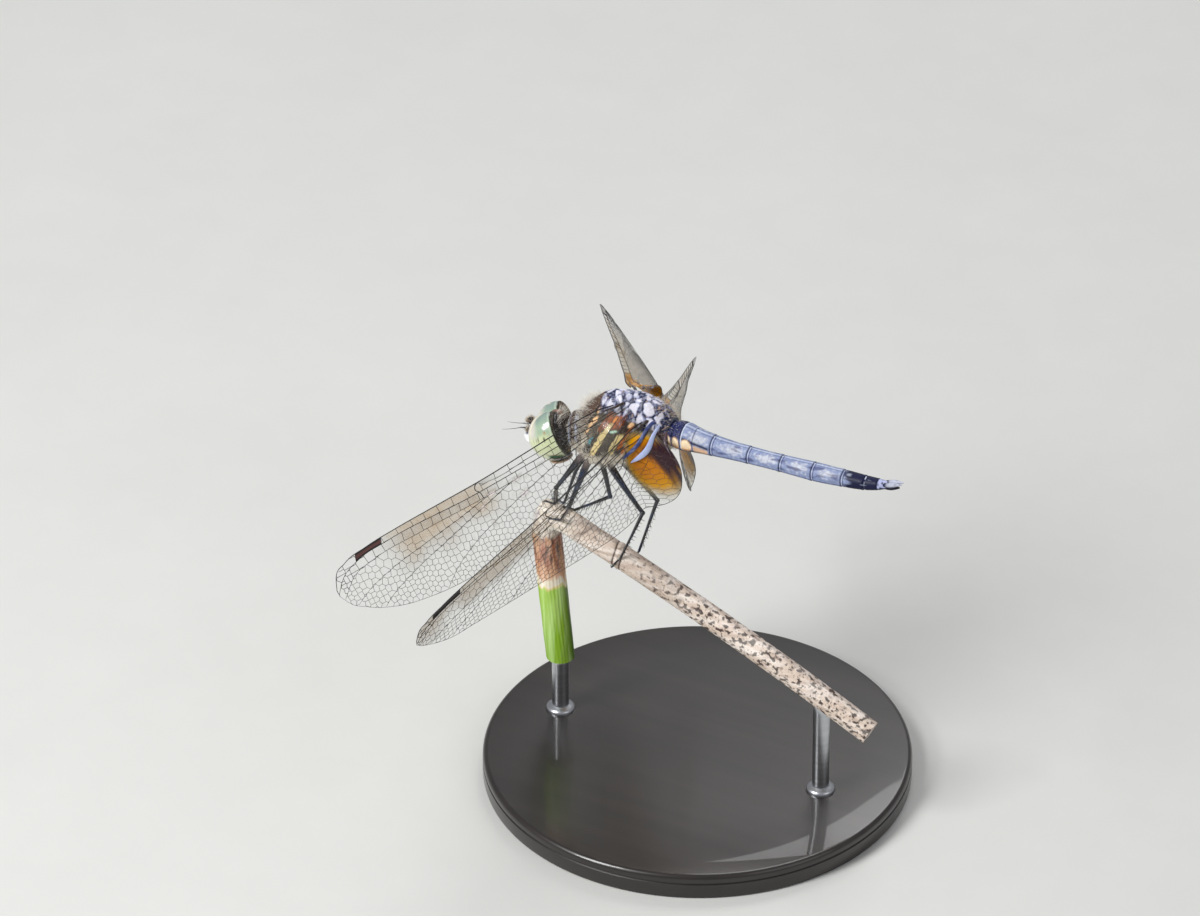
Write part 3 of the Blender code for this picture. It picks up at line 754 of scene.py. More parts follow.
# %% The abdomen's shape
ABDOMEN = (
    # x, centre z, radius
    (4.7, -2.9, 1.1), (5.4, -2.9, 1.33), (6.2, -2.97, 1.42), (7.6, -3.15, 1.22), (9.25, -3.35, 1.04),
    (12.9, -3.62, 0.87), (16.2, -3.82, 0.86), (20.0, -4.02, 0.93), (22.45, -4.08, 0.85),
    (24.65, -4.1, 0.73), (26.0, -4.0, 0.58), (26.85, -3.9, 0.4),
)
SEGMENT_ENDS = np.array((4.75, 5.5, 6.35, 9.25, 12.9, 16.2, 19.45, 22.45, 24.65, 26.0, 26.85))
ABDOMEN_RINGS, ABDOMEN_SIDES = 620, 120
WIDER, LOWER = 1.05, 0.95
RING_GROOVES = (5.95, 7.3)

places = np.linspace(4.3, 26.9, ABDOMEN_RINGS)
place = np.repeat(places, ABDOMEN_SIDES)
centre, radius = np.repeat(smooth_table(ABDOMEN, places), ABDOMEN_SIDES, 0).T
turns = np.tile(ring_turns(ABDOMEN_SIDES), ABDOMEN_RINGS)

number = np.clip(np.searchsorted(SEGMENT_ENDS, place, side="right"), 1, 10)  # which ring, 1 to 10
along = (place - SEGMENT_ENDS[number - 1]) / (SEGMENT_ENDS[number] - SEGMENT_ENDS[number - 1])
joint_gaps = np.abs(place[:, None] - SEGMENT_ENDS[None, 1:10])
behind = place - SEGMENT_ENDS[np.argmin(joint_gaps, axis=1) + 1]  # distance behind the nearest joint
back_line = np.abs((turns + math.pi) % TURN - math.pi)  # angle from the top line
flank_line = np.abs(back_line - 1.9)

lip = 0.035 * step(along, 0.9, 0.12) * (number < 10)
pinch = 0.05 * hump(np.min(joint_gaps, axis=1), 0.09)
keel = 0.07 * hump(back_line, 0.09) * (number > 1)
welt = 0.045 * hump(flank_line, 0.1) * (number > 2)
grooves = 0.035 * (hump(place - RING_GROOVES[0], 0.06) + hump(place - RING_GROOVES[1], 0.06))
swelling = radius - SKIN_INSET + lip - pinch + keel + welt - grooves
points = np.stack([place, swelling * WIDER * np.sin(turns), centre + swelling * LOWER * np.cos(turns)], 1)

# %% The abdomen's colours: the dust along its back
coarse = wander(points, 0.9, 1.7)
small = wander(points, 0.28, 7.9)
long_grain = wander(points * np.array([0.4, 1.6, 1.6]), 0.5, 14.0)
patch = clamp(1.5 - np.hypot((along - 0.6) / 0.27, (back_line - 0.85) / 0.42) + small * 0.9 + coarse * 0.5)
blots = long_grain * 3.2 - 0.6 + 0.6 * band(along, 0.05, 0.4, 0.2) + small * 0.9
blots = clamp(blots) * band(back_line, 0.3, 1.7, 0.3)
scribble = scribbles(points * np.array([0.7, 1.2, 1.2]), 0.34, 44.0, 0.07)
scribble *= band(back_line, 0.3, 1.5, 0.3) * band(along, 0.1, 0.85, 0.2) * clamp(coarse * 2 + 0.4)
paint = over(
    plain(LAVENDER, len(points)),
    (clamp(coarse * 1.4 + small * 0.6) * 0.5, colour(108, 122, 162)),
    (patch * 0.62 * (number > 2), colour(208, 208, 208)),
    (clamp(small * 2.2 - 0.2) * 0.35, MILK),
    (blots * 0.7 * (number > 3), colour(48, 54, 100)),
    (scribble * 0.6 * (number > 2), colour(62, 70, 122)),
    (step(back_line, 1.9, 0.5) * 0.45, colour(90, 102, 144)),
    (hump(back_line - 0.17, 0.035) * 0.75 * (number > 2), colour(60, 66, 112)),
    (hump(back_line, 0.1) * 0.5 * (number > 2), MILK),
)

# %% The first three rings: navy on top, a navy line, and cream cells low on the flank
CREAM_CELLS = ((5.05, 0.33), (5.92, 0.36), (6.98, 0.46))  # middle and half length
front_top = (1 - step(place + small * 0.08, 6.5, 0.12)) * (1 - step(back_line + small * 0.1, 1.25, 0.15))
line_turn = 1.12 + 0.12 * np.clip(place - 6.5, 0, 3)
paint = over(
    paint,
    (front_top, colour(30, 36, 80)),
    (front_top * clamp(coarse + small) * 0.5, colour(92, 96, 150)),
    (band(place, 6.5, 9.1, 0.2) * hump(back_line - line_turn, 0.13), NAVY),
)
for middle, half in CREAM_CELLS:
    cell = clamp(1.6 - np.hypot((place - middle) / half, (back_line - 1.68) / 0.5) ** 2 + small * 0.3)
    bright_cell = clamp(1.6 * cell - 0.5) * step(2.0 - back_line, 0.2, 0.4) * 0.9
    paint = over(paint, (cell, colour(240, 186, 132)), (bright_cell, colour(255, 232, 194)))
low_cell = band(place, 7.65, 9.05, 0.15) * band(back_line, line_turn + 0.2, 2.2, 0.15)

# %% Joints: a dark ring, a pale lip and a second thin dark ring, then the black tip
tip = step(place + coarse * 0.25 - 0.5 * band(back_line, 1.1, 1.6, 0.2), 22.75, 0.9)
flecks = clamp(long_grain * 3.5 - 1.35) * band(place, 22.6, 25.9, 0.4)
pale_end = step(place, 26.05, 0.1) * (1 - step(back_line + small * 0.15, 1.75, 0.2))
paint = over(
    paint,
    (low_cell, colour(214, 176, 146)),
    ((1 - step(place, 8.9, 0.2)) * step(back_line, 2.2, 0.2), colour(150, 130, 116)),
    (hump(behind - 0.13, 0.05) * 0.4 * (number > 2), MILK),
    (hump(behind, 0.055) * 0.95, colour(24, 28, 62)),
    (hump(behind - 0.25, 0.045) * 0.9 * (number > 3), colour(40, 46, 92)),
    (hump(place - 6.5, 0.045) * 0.85, MILK),
    (hump(place - 7.55, 0.045) * 0.85, colour(30, 34, 74)),
    (tip, INK),
    (flecks * 0.6, MILK),
    (hump(place - 24.78, 0.05) * clamp(small * 2 + 0.4), MILK),
    (pale_end, colour(164, 170, 204)),
    (pale_end * clamp(small * 3 - 0.4), INK),
)
abdomen_finish = grained(
    "abdomen_skin", 2600.0, strength=0.18, bump=0.35, depth=0.018, roughness=0.55, coat=0.03, specular=0.3
)
faces = loft_faces(ABDOMEN_RINGS, ABDOMEN_SIDES)
abdomen = add_piece("abdomen_skin", moved(BODY, points), faces, abdomen_finish, paint)
stand_in(abdomen, "abdomen", *[f"abdomen_{ring}" for ring in range(1, 11)])


# %% Tail claspers
def smooth_path(table, steps):
    """A given row of places and sizes, read along a smooth curve in even steps."""
    table = [(k, *row) for k, row in enumerate(table)]
    return smooth_table(table, np.linspace(0, len(table) - 1, steps))


def tail_part(name, table, light):
    """One clasper of the tail: a thin pointed tube, dark at its root, with painted shade on its underside.
    """
    path = smooth_path(table, 26)
    some_points, some_faces = tube(path[:, :3], path[:, 3], 20)
    from_root = (some_points[:, 0] - 26.7) / 2.1
    under_axis = np.interp(some_points[:, 0], path[:, 0], path[:, 2]) - some_points[:, 2]
    shade = over(
        plain(light, len(some_points)),
        (1 - step(from_root, 0.12, 0.2), INK),
        (step(from_root, 0.93, 0.1) * 0.7, INK),
        (clamp(wander(some_points, 0.25, 3.0) * 1.5) * 0.4, NAVY),
        # painted shade: darker on the clasper's underside
        (step(under_axis, 0.06, 0.1) * 0.8, INK),
    )
    part = add_piece(f"{name}_clasper", moved(BODY, some_points), some_faces, abdomen_finish, shade)
    stand_in(part, "abdomen_tip", name)


TAIL_Z = ABDOMEN[-1][1]
CERCUS = (
    # x, y, z over the tail, radius
    (26.7, 0.24, 0.1, 0.2), (27.3, 0.29, 0.22, 0.24), (27.7, 0.28, 0.3, 0.21), (28.42, 0.2, 0.44, 0.05),
)
EPIPROCT = ((26.7, 0.0, -0.28, 0.2), (27.3, 0.0, -0.24, 0.19), (28.02, 0.0, -0.06, 0.09))
CLASPERS = (("cercus_left", CERCUS, -1), ("cercus_right", CERCUS, 1), ("epiproct", EPIPROCT, 1))
for name, table, way in CLASPERS:
    light = colour(40, 42, 56) if table is EPIPROCT else colour(176, 180, 196)
    tail_part(name, [(x, y * way, TAIL_Z + z, radius) for x, y, z, radius in table], light)

# %% [markdown]
# ## The eyes
# Two compound eyes cover most of the head and meet on its top. Each has thousands of tiny facets,
# too small to model, so they are left to a fine bump. The colours are in the facets themselves:
# blue grey on top, aqua in the middle, pale mint below. A few short dark dashes are painted where
# the facets face the camera: they are painted pseudopupils, a dark spot that in life moves with the
# view. Each eye is an ellipsoid pressed flat where it meets its neighbour and the back of the head.
# Pressing keeps it closed and leaves a softly rounded rim.

# %% The shape of an eye
EYE_CENTRE = (0.0, 1.27, -0.17)
EYE_HALF = (2.33, 1.78, 2.35)
EYE_INSET = 0.995  # the lens is this much smaller than the solid
EYE_BACK = ((0.77, 0.0, 0.0), (1.0, 0.0, 0.14))  # a point of the plane behind the eye, its normal
EYE_GAP = 0.03


def pressed(points, place, normal, soft):
    """Presses the points that lie beyond a plane down onto it, with a rounded edge."""
    normal = np.asarray(normal, float) / np.linalg.norm(normal)
    beyond = (points - np.asarray(place)) @ normal
    s = beyond + soft
    kept = np.where(s > 0, -soft + soft * np.tanh(s / soft) + 0.004 * s, beyond)
    return points + (kept - beyond)[:, None] * normal


# %% The colours of an eye
# painted pseudopupils: dark dashes fixed where the facets face the camera; in life this dark spot moves with
# the view
PSEUDOPUPIL_DASHES = (
    # x, z, half width, half height, strength
    (-0.27, 0.17, 0.09, 0.22, 1.0), (-0.9, 0.2, 0.06, 0.26, 0.75), (-1.12, 0.12, 0.05, 0.22, 0.5),
    (0.2, 0.1, 0.04, 0.16, 0.3), (-0.62, -0.3, 0.04, 0.12, 0.25), (-0.1, -0.55, 0.04, 0.12, 0.3),
    (-1.45, 0.1, 0.05, 0.24, 0.4), (-0.5, 0.12, 0.035, 0.12, 0.35),
)


def eye_colours(points):
    """Colours of one eye from places in the head's frame."""
    x, y, z = points[:, 0], np.abs(points[:, 1]), points[:, 2]
    n = wander(points, 0.8, 2.2)
    lobe = (1 - step(z + 0.25 * x, -1.62, 0.12)) * step(x, -0.5, 0.5)
    inner_rim = band(0.518 * x + 0.855 * y, 0.74, 1.08, 0.14) * step(z, 0.6, 0.8) * (1 - step(x, -0.3, 0.4))
    back = (x - EYE_BACK[0][0] + 0.14 * z) / math.hypot(1, 0.14)
    dashes = []
    # the painted pseudopupils
    for dash_x, dash_z, wide, tall, strength in PSEUDOPUPIL_DASHES:
        dash = clamp(1.5 - np.hypot((x - dash_x) / wide, (z - dash_z) / tall))
        dashes.append((dash * strength, colour(46, 52, 30)))
    return over(
        plain(colour(154, 176, 150), len(points)),
        (1 - step(z + n * 0.2, 0.55, 0.7), colour(200, 208, 164)),
        (step(z + n * 0.2 - x * 0.15, 1.75, 0.8), colour(130, 148, 140)),
        ((1 - step(x + n * 0.15, -1.05, 0.8)) * step(z, 0.3, 0.9), colour(204, 200, 188)),
        ((1 - step(x, -1.75, 0.5)) * step(z, 1.1, 0.6) * 0.8, colour(150, 164, 186)),
        ((1 - step(z, -1.3, 0.8)) * 0.7, colour(226, 232, 196)),
        (hump(z + 0.25 * x + 1.56, 0.05) * step(x, -0.7, 0.3) * 0.85, colour(132, 104, 52)),
        (lobe, colour(58, 106, 72)),
        (lobe * (1 - step(z, -1.95, 0.3)), colour(28, 40, 34)),
        *dashes,
        (clamp(1.4 - np.hypot((x + 0.12) / 0.09, (z - 0.78) / 0.14)) * 0.8, colour(176, 110, 54)),
        (inner_rim * 0.9, colour(230, 218, 190)),
        (band(back, -0.26, -0.12, 0.08) * 0.4, colour(214, 226, 196)),
        (step(back, -0.055, 0.05), colour(22, 20, 18)),
        (1 - step(y, 0.1, 0.08), colour(30, 34, 34)),
    )


eye_finish, tree, shader = new_material("eye_facets", roughness=0.22, specular=0.6, coat=0.7)
shader.inputs["Coat Roughness"].default_value = 0.08
facets = {"Vector": object_coordinates(tree), "Scale": 26000.0, "Randomness": 0.25}
facets = add_node(tree, "ShaderNodeTexVoronoi", facets).outputs["Distance"]
tone = use_group(tree, mottle, Colour=attribute_node(tree, "paint"), Scale=1100.0, Strength=0.08)
tree.links.new(tone["Colour"], shader.inputs["Base Color"])
add_bump(tree, shader, facets, 0.12, 0.01)

# %% The eyes
for word, way in (("left", -1), ("right", 1)):
    points, faces = ball(120, 84)
    points = points * np.array(EYE_HALF) * EYE_INSET + np.array(EYE_CENTRE) * np.array([1, way, 1])
    points = pressed(points, (0.0, EYE_GAP * way, 0.0), (0.0, -way, 0.0), 0.1)
    points = pressed(points, *EYE_BACK, 0.09)
    eye = add_piece(f"eye_{word}_lens", moved(HEAD, points), faces, eye_finish, eye_colours(points))
    stand_in(eye, "eye", f"eye_{word}")

# %% [markdown]
# ## The head behind and between the eyes
# The back of the head is a dark, slightly hollow plate. On its top, just behind the line where
# the eyes meet, sits a small tan triangle, and the sides are ridged like gathered cloth. It is an
# ellipsoid too, pushed in and out by a few smooth functions.

# %% Back of the head
SKULL_CENTRE = np.array((0.35, 0.0, -0.3))
SKULL_HALF = np.array((1.05, 2.6, 2.1))
unit, faces = ball(130, 90)
points = unit * (SKULL_HALF - 0.03) + SKULL_CENTRE
x, y, z = points.T
spread = np.hypot(y / SKULL_HALF[1], (z + 0.3) / SKULL_HALF[2])
pleats = np.sin(np.arctan2(z + 0.3, y) * 26 + wander(points, 0.7) * 3) * band(spread, 0.35, 0.85, 0.3)
triangle = clamp(1.6 - np.hypot(y / 0.34, (z - 1.5) / 0.26)) * step(x, 0.1, 0.3)
bump = pleats * 0.035 + wander(points, 0.3, 3.0) * 0.05 + triangle * 0.14
bump -= 0.2 * hump(spread, 0.5) * step(x, 0.6, 0.4)
points = points + unit / np.linalg.norm(unit, axis=1)[:, None] * bump[:, None]
paint = over(
    plain(colour(40, 33, 30), len(points)),
    (clamp(pleats * 0.7 + wander(points, 0.25, 9.0) * 0.6) * 0.75, colour(104, 100, 106)),
    (step(spread, 0.86, 0.1) * 0.7, colour(24, 20, 18)),
    (triangle * 0.85, colour(168, 134, 118)),
    (clamp(1.3 - np.hypot(y / 0.9, (z + 1.7) / 0.6)) * 0.8, colour(170, 162, 150)),
)
shell_finish = grained("head_shell", 2600.0, bump=0.45, depth=0.02, roughness=0.4, coat=0.2)
skull = add_piece("head_shell", moved(HEAD, points), faces, shell_finish, paint)
stand_in(skull, "head_black", "head")

# %% [markdown]
# ## The face
# The face between the eyes has four plates: the frons, a pearly white forehead; the clypeus below
# it; the labrum, a flap over the jaws; and the labium, the broad lower lip. Dark seams part them.
# The face is a stack of rounded sections, and its seams are grooves at set heights.

# %% Face
FACE = (
    # z, front x, rear x, half width
    (-2.78, -1.2, -0.4, 0.8), (-2.4, -1.75, -0.5, 1.15), (-1.7, -2.25, -0.7, 1.4), (-1.0, -2.6, -0.9, 1.4),
    (-0.3, -2.85, -1.3, 1.25), (0.25, -2.85, -1.4, 1.05), (0.65, -2.55, -1.5, 0.72),
)
FACE_SEAMS = (-2.15, -1.35, -0.5)
FACE_RINGS, FACE_SIDES = 90, 110
FACE_INSET = 0.03
heights = dome_places(FACE[0][0], FACE[-1][0], FACE_RINGS)
front, rear, half = np.repeat(smooth_table(FACE, heights), FACE_SIDES, 0).T
z = np.repeat(heights, FACE_SIDES)
turns = np.tile(ring_turns(FACE_SIDES), FACE_RINGS)
sine, cosine = np.sin(turns), np.cos(turns)
seam = np.max([hump(z + 0.06 * cosine - place, 0.05) for place in FACE_SEAMS], axis=0)
furrow = hump(sine, 0.07) * (cosine > 0) * step(z, -0.35, 0.2)
depth = (rear - front) / 2 - FACE_INSET - 0.06 * seam - 0.09 * furrow
y = (half - FACE_INSET - 0.06 * seam) * sine
x = (front + rear) / 2 - depth * np.sign(cosine) * np.abs(cosine) ** 0.8
x -= 0.26 * band(z, -0.42, 0.3, 0.35) * clamp(cosine)
paint = over(
    plain(colour(206, 202, 178), len(z)),
    (step(z, -0.5, 0.06), colour(240, 241, 243)),
    (step(z, 0.3, 0.2), colour(44, 58, 84)),
    (1 - step(z, -2.15, 0.06), colour(176, 160, 120)),
    (clamp(1.3 - np.hypot(y / 0.5, (z + 2.3) / 0.16)) * 0.8, colour(40, 32, 24)),
    (seam * 0.8, colour(60, 50, 42)),
    (furrow * 0.5, colour(120, 124, 130)),
)
face_finish = grained("face_plates", 2400.0, strength=0.08, roughness=0.3, coat=0.4)
points = moved(HEAD, np.stack([x, y, z], 1))
face = add_piece("face_plates", points, loft_faces(FACE_RINGS, FACE_SIDES), face_finish, paint)
stand_in(face, "face", "face")

# %% Lip and crown
LIP_CENTRE, LIP_HALF = (-0.35, 0.0, -2.84), (1.08, 1.18, 0.36)
CROWN_CENTRE, CROWN_HALF = (-2.15, 0.0, 1.25), (0.33, 0.42, 0.33)
OCELLI = ((-2.5, 0.0, 1.22, 0.12), (-2.17, 0.4, 1.32, 0.1), (-2.17, -0.4, 1.32, 0.1))  # x, y, z, size
unit, unit_faces = ball(64, 40)
lip = unit * np.array(LIP_HALF) + np.array(LIP_CENTRE)
lip[:, 2] = np.minimum(lip[:, 2], LIP_CENTRE[2] + 0.03)
x, y, z = lip.T
groove = hump(y, 0.05) + hump(np.abs(y) - 0.62 - 0.2 * x, 0.05)
paint = over(plain(colour(206, 176, 150), len(lip)), (clamp(groove) * 0.7, colour(70, 50, 40)))
lip[:, 2] += 0.05 * groove * (z < -2.86)
labium = add_piece("lip_plate", moved(HEAD, lip), unit_faces, face_finish, paint)
stand_in(labium, "face", "labium")

crown = unit * np.array(CROWN_HALF) + np.array(CROWN_CENTRE)
crown += unit * (wander(crown, 0.2) * 0.02)[:, None]
crown_finish = grained("crown_shell", 3000.0, depth=0.01, roughness=0.25, coat=0.6)
parts, paints = [(crown, unit_faces)], [plain(colour(20, 22, 34), len(crown))]
small, small_faces = ball(20, 14)
for x, y, z, size in OCELLI:
    parts.append((small * size + np.array((x, y, z)), small_faces))
    paints.append(plain(colour(70, 46, 26), len(small)))
points, faces = joined(parts)
vertex = add_piece("crown_boss", moved(HEAD, points), faces, crown_finish, np.concatenate(paints))
stand_in(vertex, "head_black", "vertex")

# %% Feelers
# A dragonfly's feelers are two short bristles: two thick joints and a hair-thin whip.
FEELER = (
    # x, y, z, radius
    (-2.72, 0.46, 0.82, 0.07), (-3.05, 0.5, 0.93, 0.055), (-3.3, 0.56, 0.96, 0.034),
    (-3.75, 0.68, 1.02, 0.024), (-4.3, 0.82, 1.12, 0.018), (-4.75, 0.93, 1.24, 0.011),
)
for word, way in (("left", -1), ("right", 1)):
    rows = smooth_path([(x, y * way, z, radius) for x, y, z, radius in FEELER], 30)
    points, faces = tube(rows[:, :3], rows[:, 3], 10)
    paint = plain(colour(58, 60, 66), len(points))
    feeler = add_piece(f"feeler_{word}", moved(HEAD, points), faces, crown_finish, paint)
    stand_in(feeler, "head_black", f"antenna_{word}")

# %% [markdown]
# ## The wings
# A wing is a clear film held open by a net of veins. The film is pleated like a fan near its
# front edge, and that is what makes it stiff. A few long veins run out from the root and fan
# towards the rear edge, and short cross veins divide the strips between them into cells. So each
# wing starts as a flat plan: u runs from root to tip and v from front to back, both as shares of
# the wing's length. The plan's long veins are curves v(u), kept in order from front to back. The
# last step bends the plan into place with the same rule that shapes the plain solid.

# %% Plans of the wings
RADIUS_TIP = ((0.8, 0.019), (0.9, 0.027), (0.97, 0.058), (0.998, 0.09))
RAY_TIP = ((0.85, 0.048), (0.94, 0.07), (0.975, 0.1), (0.992, 0.115))
PLANS = {
    # for each kind of wing: its edge as (u, front v, rear v), then its long veins from front to
    # back as (name, thickness, fold height, places (u, v))
    "fore": (
        (
            (0, 0, 0.07), (0.03, -0.008, 0.092), (0.08, -0.012, 0.118), (0.15, -0.012, 0.155),
            (0.3, -0.006, 0.208), (0.45, 0, 0.232), (0.6, 0, 0.237), (0.75, 0, 0.228),
            (0.86, 0.004, 0.203), (0.94, 0.016, 0.162), (0.985, 0.045, 0.122), (1, 0.08, 0.092),
        ),
        (
            ("subcosta", 0.055, -0.16, (
                (0.01, 0.018), (0.1, 0.008), (0.3, 0.012), (0.44, 0.014), (0.466, 0.009), (0.474, 0.0),
            )),
            ("radius", 0.07, 0.16, ((0.01, 0.03), (0.1, 0.024), (0.3, 0.027), (0.5, 0.028), *RADIUS_TIP)),
            ("first_ray", 0.055, -0.12, (
                (0.115, 0.042), (0.25, 0.045), (0.475, 0.05), (0.7, 0.046), *RAY_TIP,
            )),
            ("second_ray", 0.045, 0.1, (
                (0.475, 0.052), (0.56, 0.065), (0.7, 0.082), (0.82, 0.098), (0.92, 0.125), (0.97, 0.15),
            )),
            ("third_ray", 0.05, -0.08, (
                (0.38, 0.048), (0.5, 0.075), (0.64, 0.108), (0.77, 0.14), (0.86, 0.172), (0.91, 0.2),
            )),
            ("middle", 0.05, 0.07, (
                (0.115, 0.048), (0.2, 0.06), (0.32, 0.085), (0.45, 0.118), (0.57, 0.155), (0.66, 0.2),
                (0.71, 0.24),
            )),
            ("elbow", 0.045, -0.06, (
                (0.185, 0.1), (0.25, 0.116), (0.32, 0.145), (0.38, 0.185), (0.42, 0.235),
            )),
            ("rear", 0.045, 0.05, ((0.01, 0.055), (0.08, 0.075), (0.15, 0.1), (0.2, 0.135), (0.24, 0.19))),
        ),
    ),
    "hind": (
        (
            (0, 0, 0.085), (0.015, -0.004, 0.16), (0.04, -0.007, 0.22), (0.08, -0.008, 0.272),
            (0.14, -0.006, 0.306), (0.22, -0.003, 0.318), (0.35, 0, 0.305), (0.5, 0.002, 0.278),
            (0.65, 0, 0.25), (0.78, 0, 0.222), (0.88, 0.005, 0.195), (0.95, 0.02, 0.148),
            (0.987, 0.045, 0.112), (1, 0.08, 0.092),
        ),
        (
            ("subcosta", 0.055, -0.15, (
                (0.01, 0.02), (0.1, 0.012), (0.3, 0.013), (0.385, 0.013), (0.41, 0.008), (0.418, 0.0),
            )),
            ("radius", 0.07, 0.15, ((0.01, 0.034), (0.1, 0.026), (0.3, 0.028), (0.5, 0.028), *RADIUS_TIP)),
            ("first_ray", 0.055, -0.11, ((0.1, 0.042), (0.25, 0.047), (0.42, 0.05), (0.7, 0.047), *RAY_TIP)),
            ("second_ray", 0.045, 0.1, (
                (0.42, 0.052), (0.55, 0.07), (0.7, 0.088), (0.82, 0.105), (0.92, 0.13), (0.97, 0.155),
            )),
            ("third_ray", 0.05, -0.08, (
                (0.32, 0.05), (0.46, 0.082), (0.6, 0.115), (0.74, 0.15), (0.84, 0.185), (0.89, 0.21),
            )),
            ("middle", 0.05, 0.07, (
                (0.1, 0.05), (0.2, 0.07), (0.32, 0.105), (0.46, 0.155), (0.58, 0.205), (0.66, 0.26),
            )),
            ("elbow", 0.045, -0.06, ((0.12, 0.085), (0.2, 0.125), (0.3, 0.185), (0.38, 0.25), (0.42, 0.31))),
            ("loop_front", 0.045, 0.05, (
                (0.07, 0.07), (0.12, 0.11), (0.2, 0.175), (0.27, 0.24), (0.31, 0.32),
            )),
            ("loop_rear", 0.045, -0.04, (
                (0.02, 0.06), (0.06, 0.1), (0.1, 0.16), (0.15, 0.23), (0.19, 0.32),
            )),
        ),
    ),
}
PLAN_STEPS = 400
WINGS = {
    # name: (kind, length, root, sweep, droop, root pitch, pitch, twist, way), angles in degrees
    "wing_fore_left": ("fore", 30.8, (0.0, -1.66, 0.0), 35.2, 12.4, -7, -52, -10, -1),
    "wing_fore_right": ("fore", 30.8, (0.0, 1.66, 0.0), 35.8, 14.0, -5, -50, -11, 1),
    "wing_hind_left": ("hind", 29.5, (2.95, -1.66, -1.17), 22.6, 18.1, -29, -92, -18, -1),
    "wing_hind_right": ("hind", 29.5, (2.95, 1.66, -1.17), 22.1, 21.6, -60, -72, -40, 1),
}
HINGE = 0.12  # by this share of its length a wing has turned from its root's pitch to its own


def wing_plan(edge, veins):
    """The long veins as rows of v over u, from the front edge to the rear one, never crossing."""
    u = np.linspace(0.0, 1.0, PLAN_STEPS)
    front, rear = smooth_table(edge, u).T
    rows, spans = [front], [(0.0, 1.0)]
    for _, _, _, places in veins:
        places = np.array(places)
        line = smooth_table(places, u)[:, 0]
        line = np.where(u < places[0, 0], rows[-1], line)
        ended = rows[-1] if places[-1, 1] < 0.005 else rear
        line = np.where(u > places[-1, 0], ended, line)
        rows.append(np.clip(line, rows[-1], rear))
        spans.append((places[0, 0], places[-1, 0]))
    rows.append(rear)
    return u, np.array(rows), spans


def wing_place(name, u, v, lift):
    """Bends plan places (arrays u, v as shares, lift in millimetres) into the body's frame."""
    _, length, root, sweep, droop, root_pitch, pitch, twist, way = WINGS[name]
    s, d = math.radians(sweep), math.radians(droop)
    out = np.array((-math.sin(s) * math.cos(d), math.cos(s) * math.cos(d), -math.sin(d)))
    back = np.array((math.cos(s), math.sin(s), 0.0))
    above = np.cross(back, out)
    share = clamp(u / HINGE)
    share = share * share * (3 - 2 * share)
    angle = np.radians(root_pitch + (pitch - root_pitch) * share + twist * u)[:, None]
    chord = back * np.cos(angle) + above * np.sin(angle)
    normal = above * np.cos(angle) - back * np.sin(angle)
    points = out * (u * length)[:, None] + chord * (v * length)[:, None] + normal * lift[:, None]
    return points * np.array((1, way, 1)) + np.array(root)


plans = {kind: (wing_plan(*plan), plan[1]) for kind, plan in PLANS.items()}
print("long veins:", {kind: len(veins) for kind, (_, veins) in plans.items()})


def fold_lift(u, v, kind):
    """How far the pleated film stands off the flat plan: peaks and valleys lie on the long veins."""
    (grid, rows, _), veins = plans[kind]
    at = np.array([np.interp(u, grid, row) for row in rows])
    heights = np.full(at.shape, 0.1)
    for k, vein in enumerate(veins, start=1):
        apart = clamp((at[k] - at[k - 1]) / 0.01)  # a vein that has met the last one shares its height
        own = heights[k - 1] + (vein[2] - heights[k - 1]) * apart
        heights[k] = own * clamp((at[-1] - at[k]) / 0.02)
    heights[-1] = 0.0
    fade = np.clip(u / 0.06, 0.15, 1.0) * np.clip((1.0 - u) / 0.12, 0.1, 1.0)
    at += np.arange(len(rows))[:, None] * 1e-6
    return np.array([np.interp(v[k], at[:, k], heights[:, k]) for k in range(len(u))]) * fade


def on_wing(name, u, v, lift):
    """Plan places on the pleated film of one wing, raised by a lift."""
    return moved(BODY, wing_place(name, u, v, fold_lift(u, v, WINGS[name][0]) + lift))


# %% [markdown]
# ## The film of the wings
# The film is clear, with a warm amber stain at the root and a smoky olive wash between the nodus,
# the notch halfway along the front edge, and the dark spot near the tip. The hindwing is plum
# brown right at its root. The film is one thin closed shell whose grid follows the long veins, so
# that its pleats stay crisp. Four values painted on its points say how much amber, smoke, painted
# glint and plum it shows. The glints are painted highlight, the right wings carry a painted golden
# wash of light in their amber and smoke, and dark streaks along the hindwing's rear edge at the
# root are partly painted shadow. The material turns them into colour and into how much light gets
# through.

# %% The film's material
film, tree, shader = new_material("wing_film", roughness=0.16, specular=0.7, coat=0.5)
shader.inputs["Coat Roughness"].default_value = 0.05
film_values = ("amber", "smoke", "pearl", "plum")
amber, smoke, pearl, plum = (attribute_node(tree, film_value, "Fac") for film_value in film_values)
golden = math_node(tree, "MINIMUM", math_node(tree, "MULTIPLY", amber, 1.6), 1.0)
gold = mix_colour(tree, amber, colour(220, 176, 0), colour(188, 114, 0))
tint = mix_colour(tree, smoke, colour(150, 152, 140), colour(164, 122, 24))
tint = mix_colour(tree, golden, tint, gold)
tint = mix_colour(tree, plum, tint, colour(52, 34, 40))
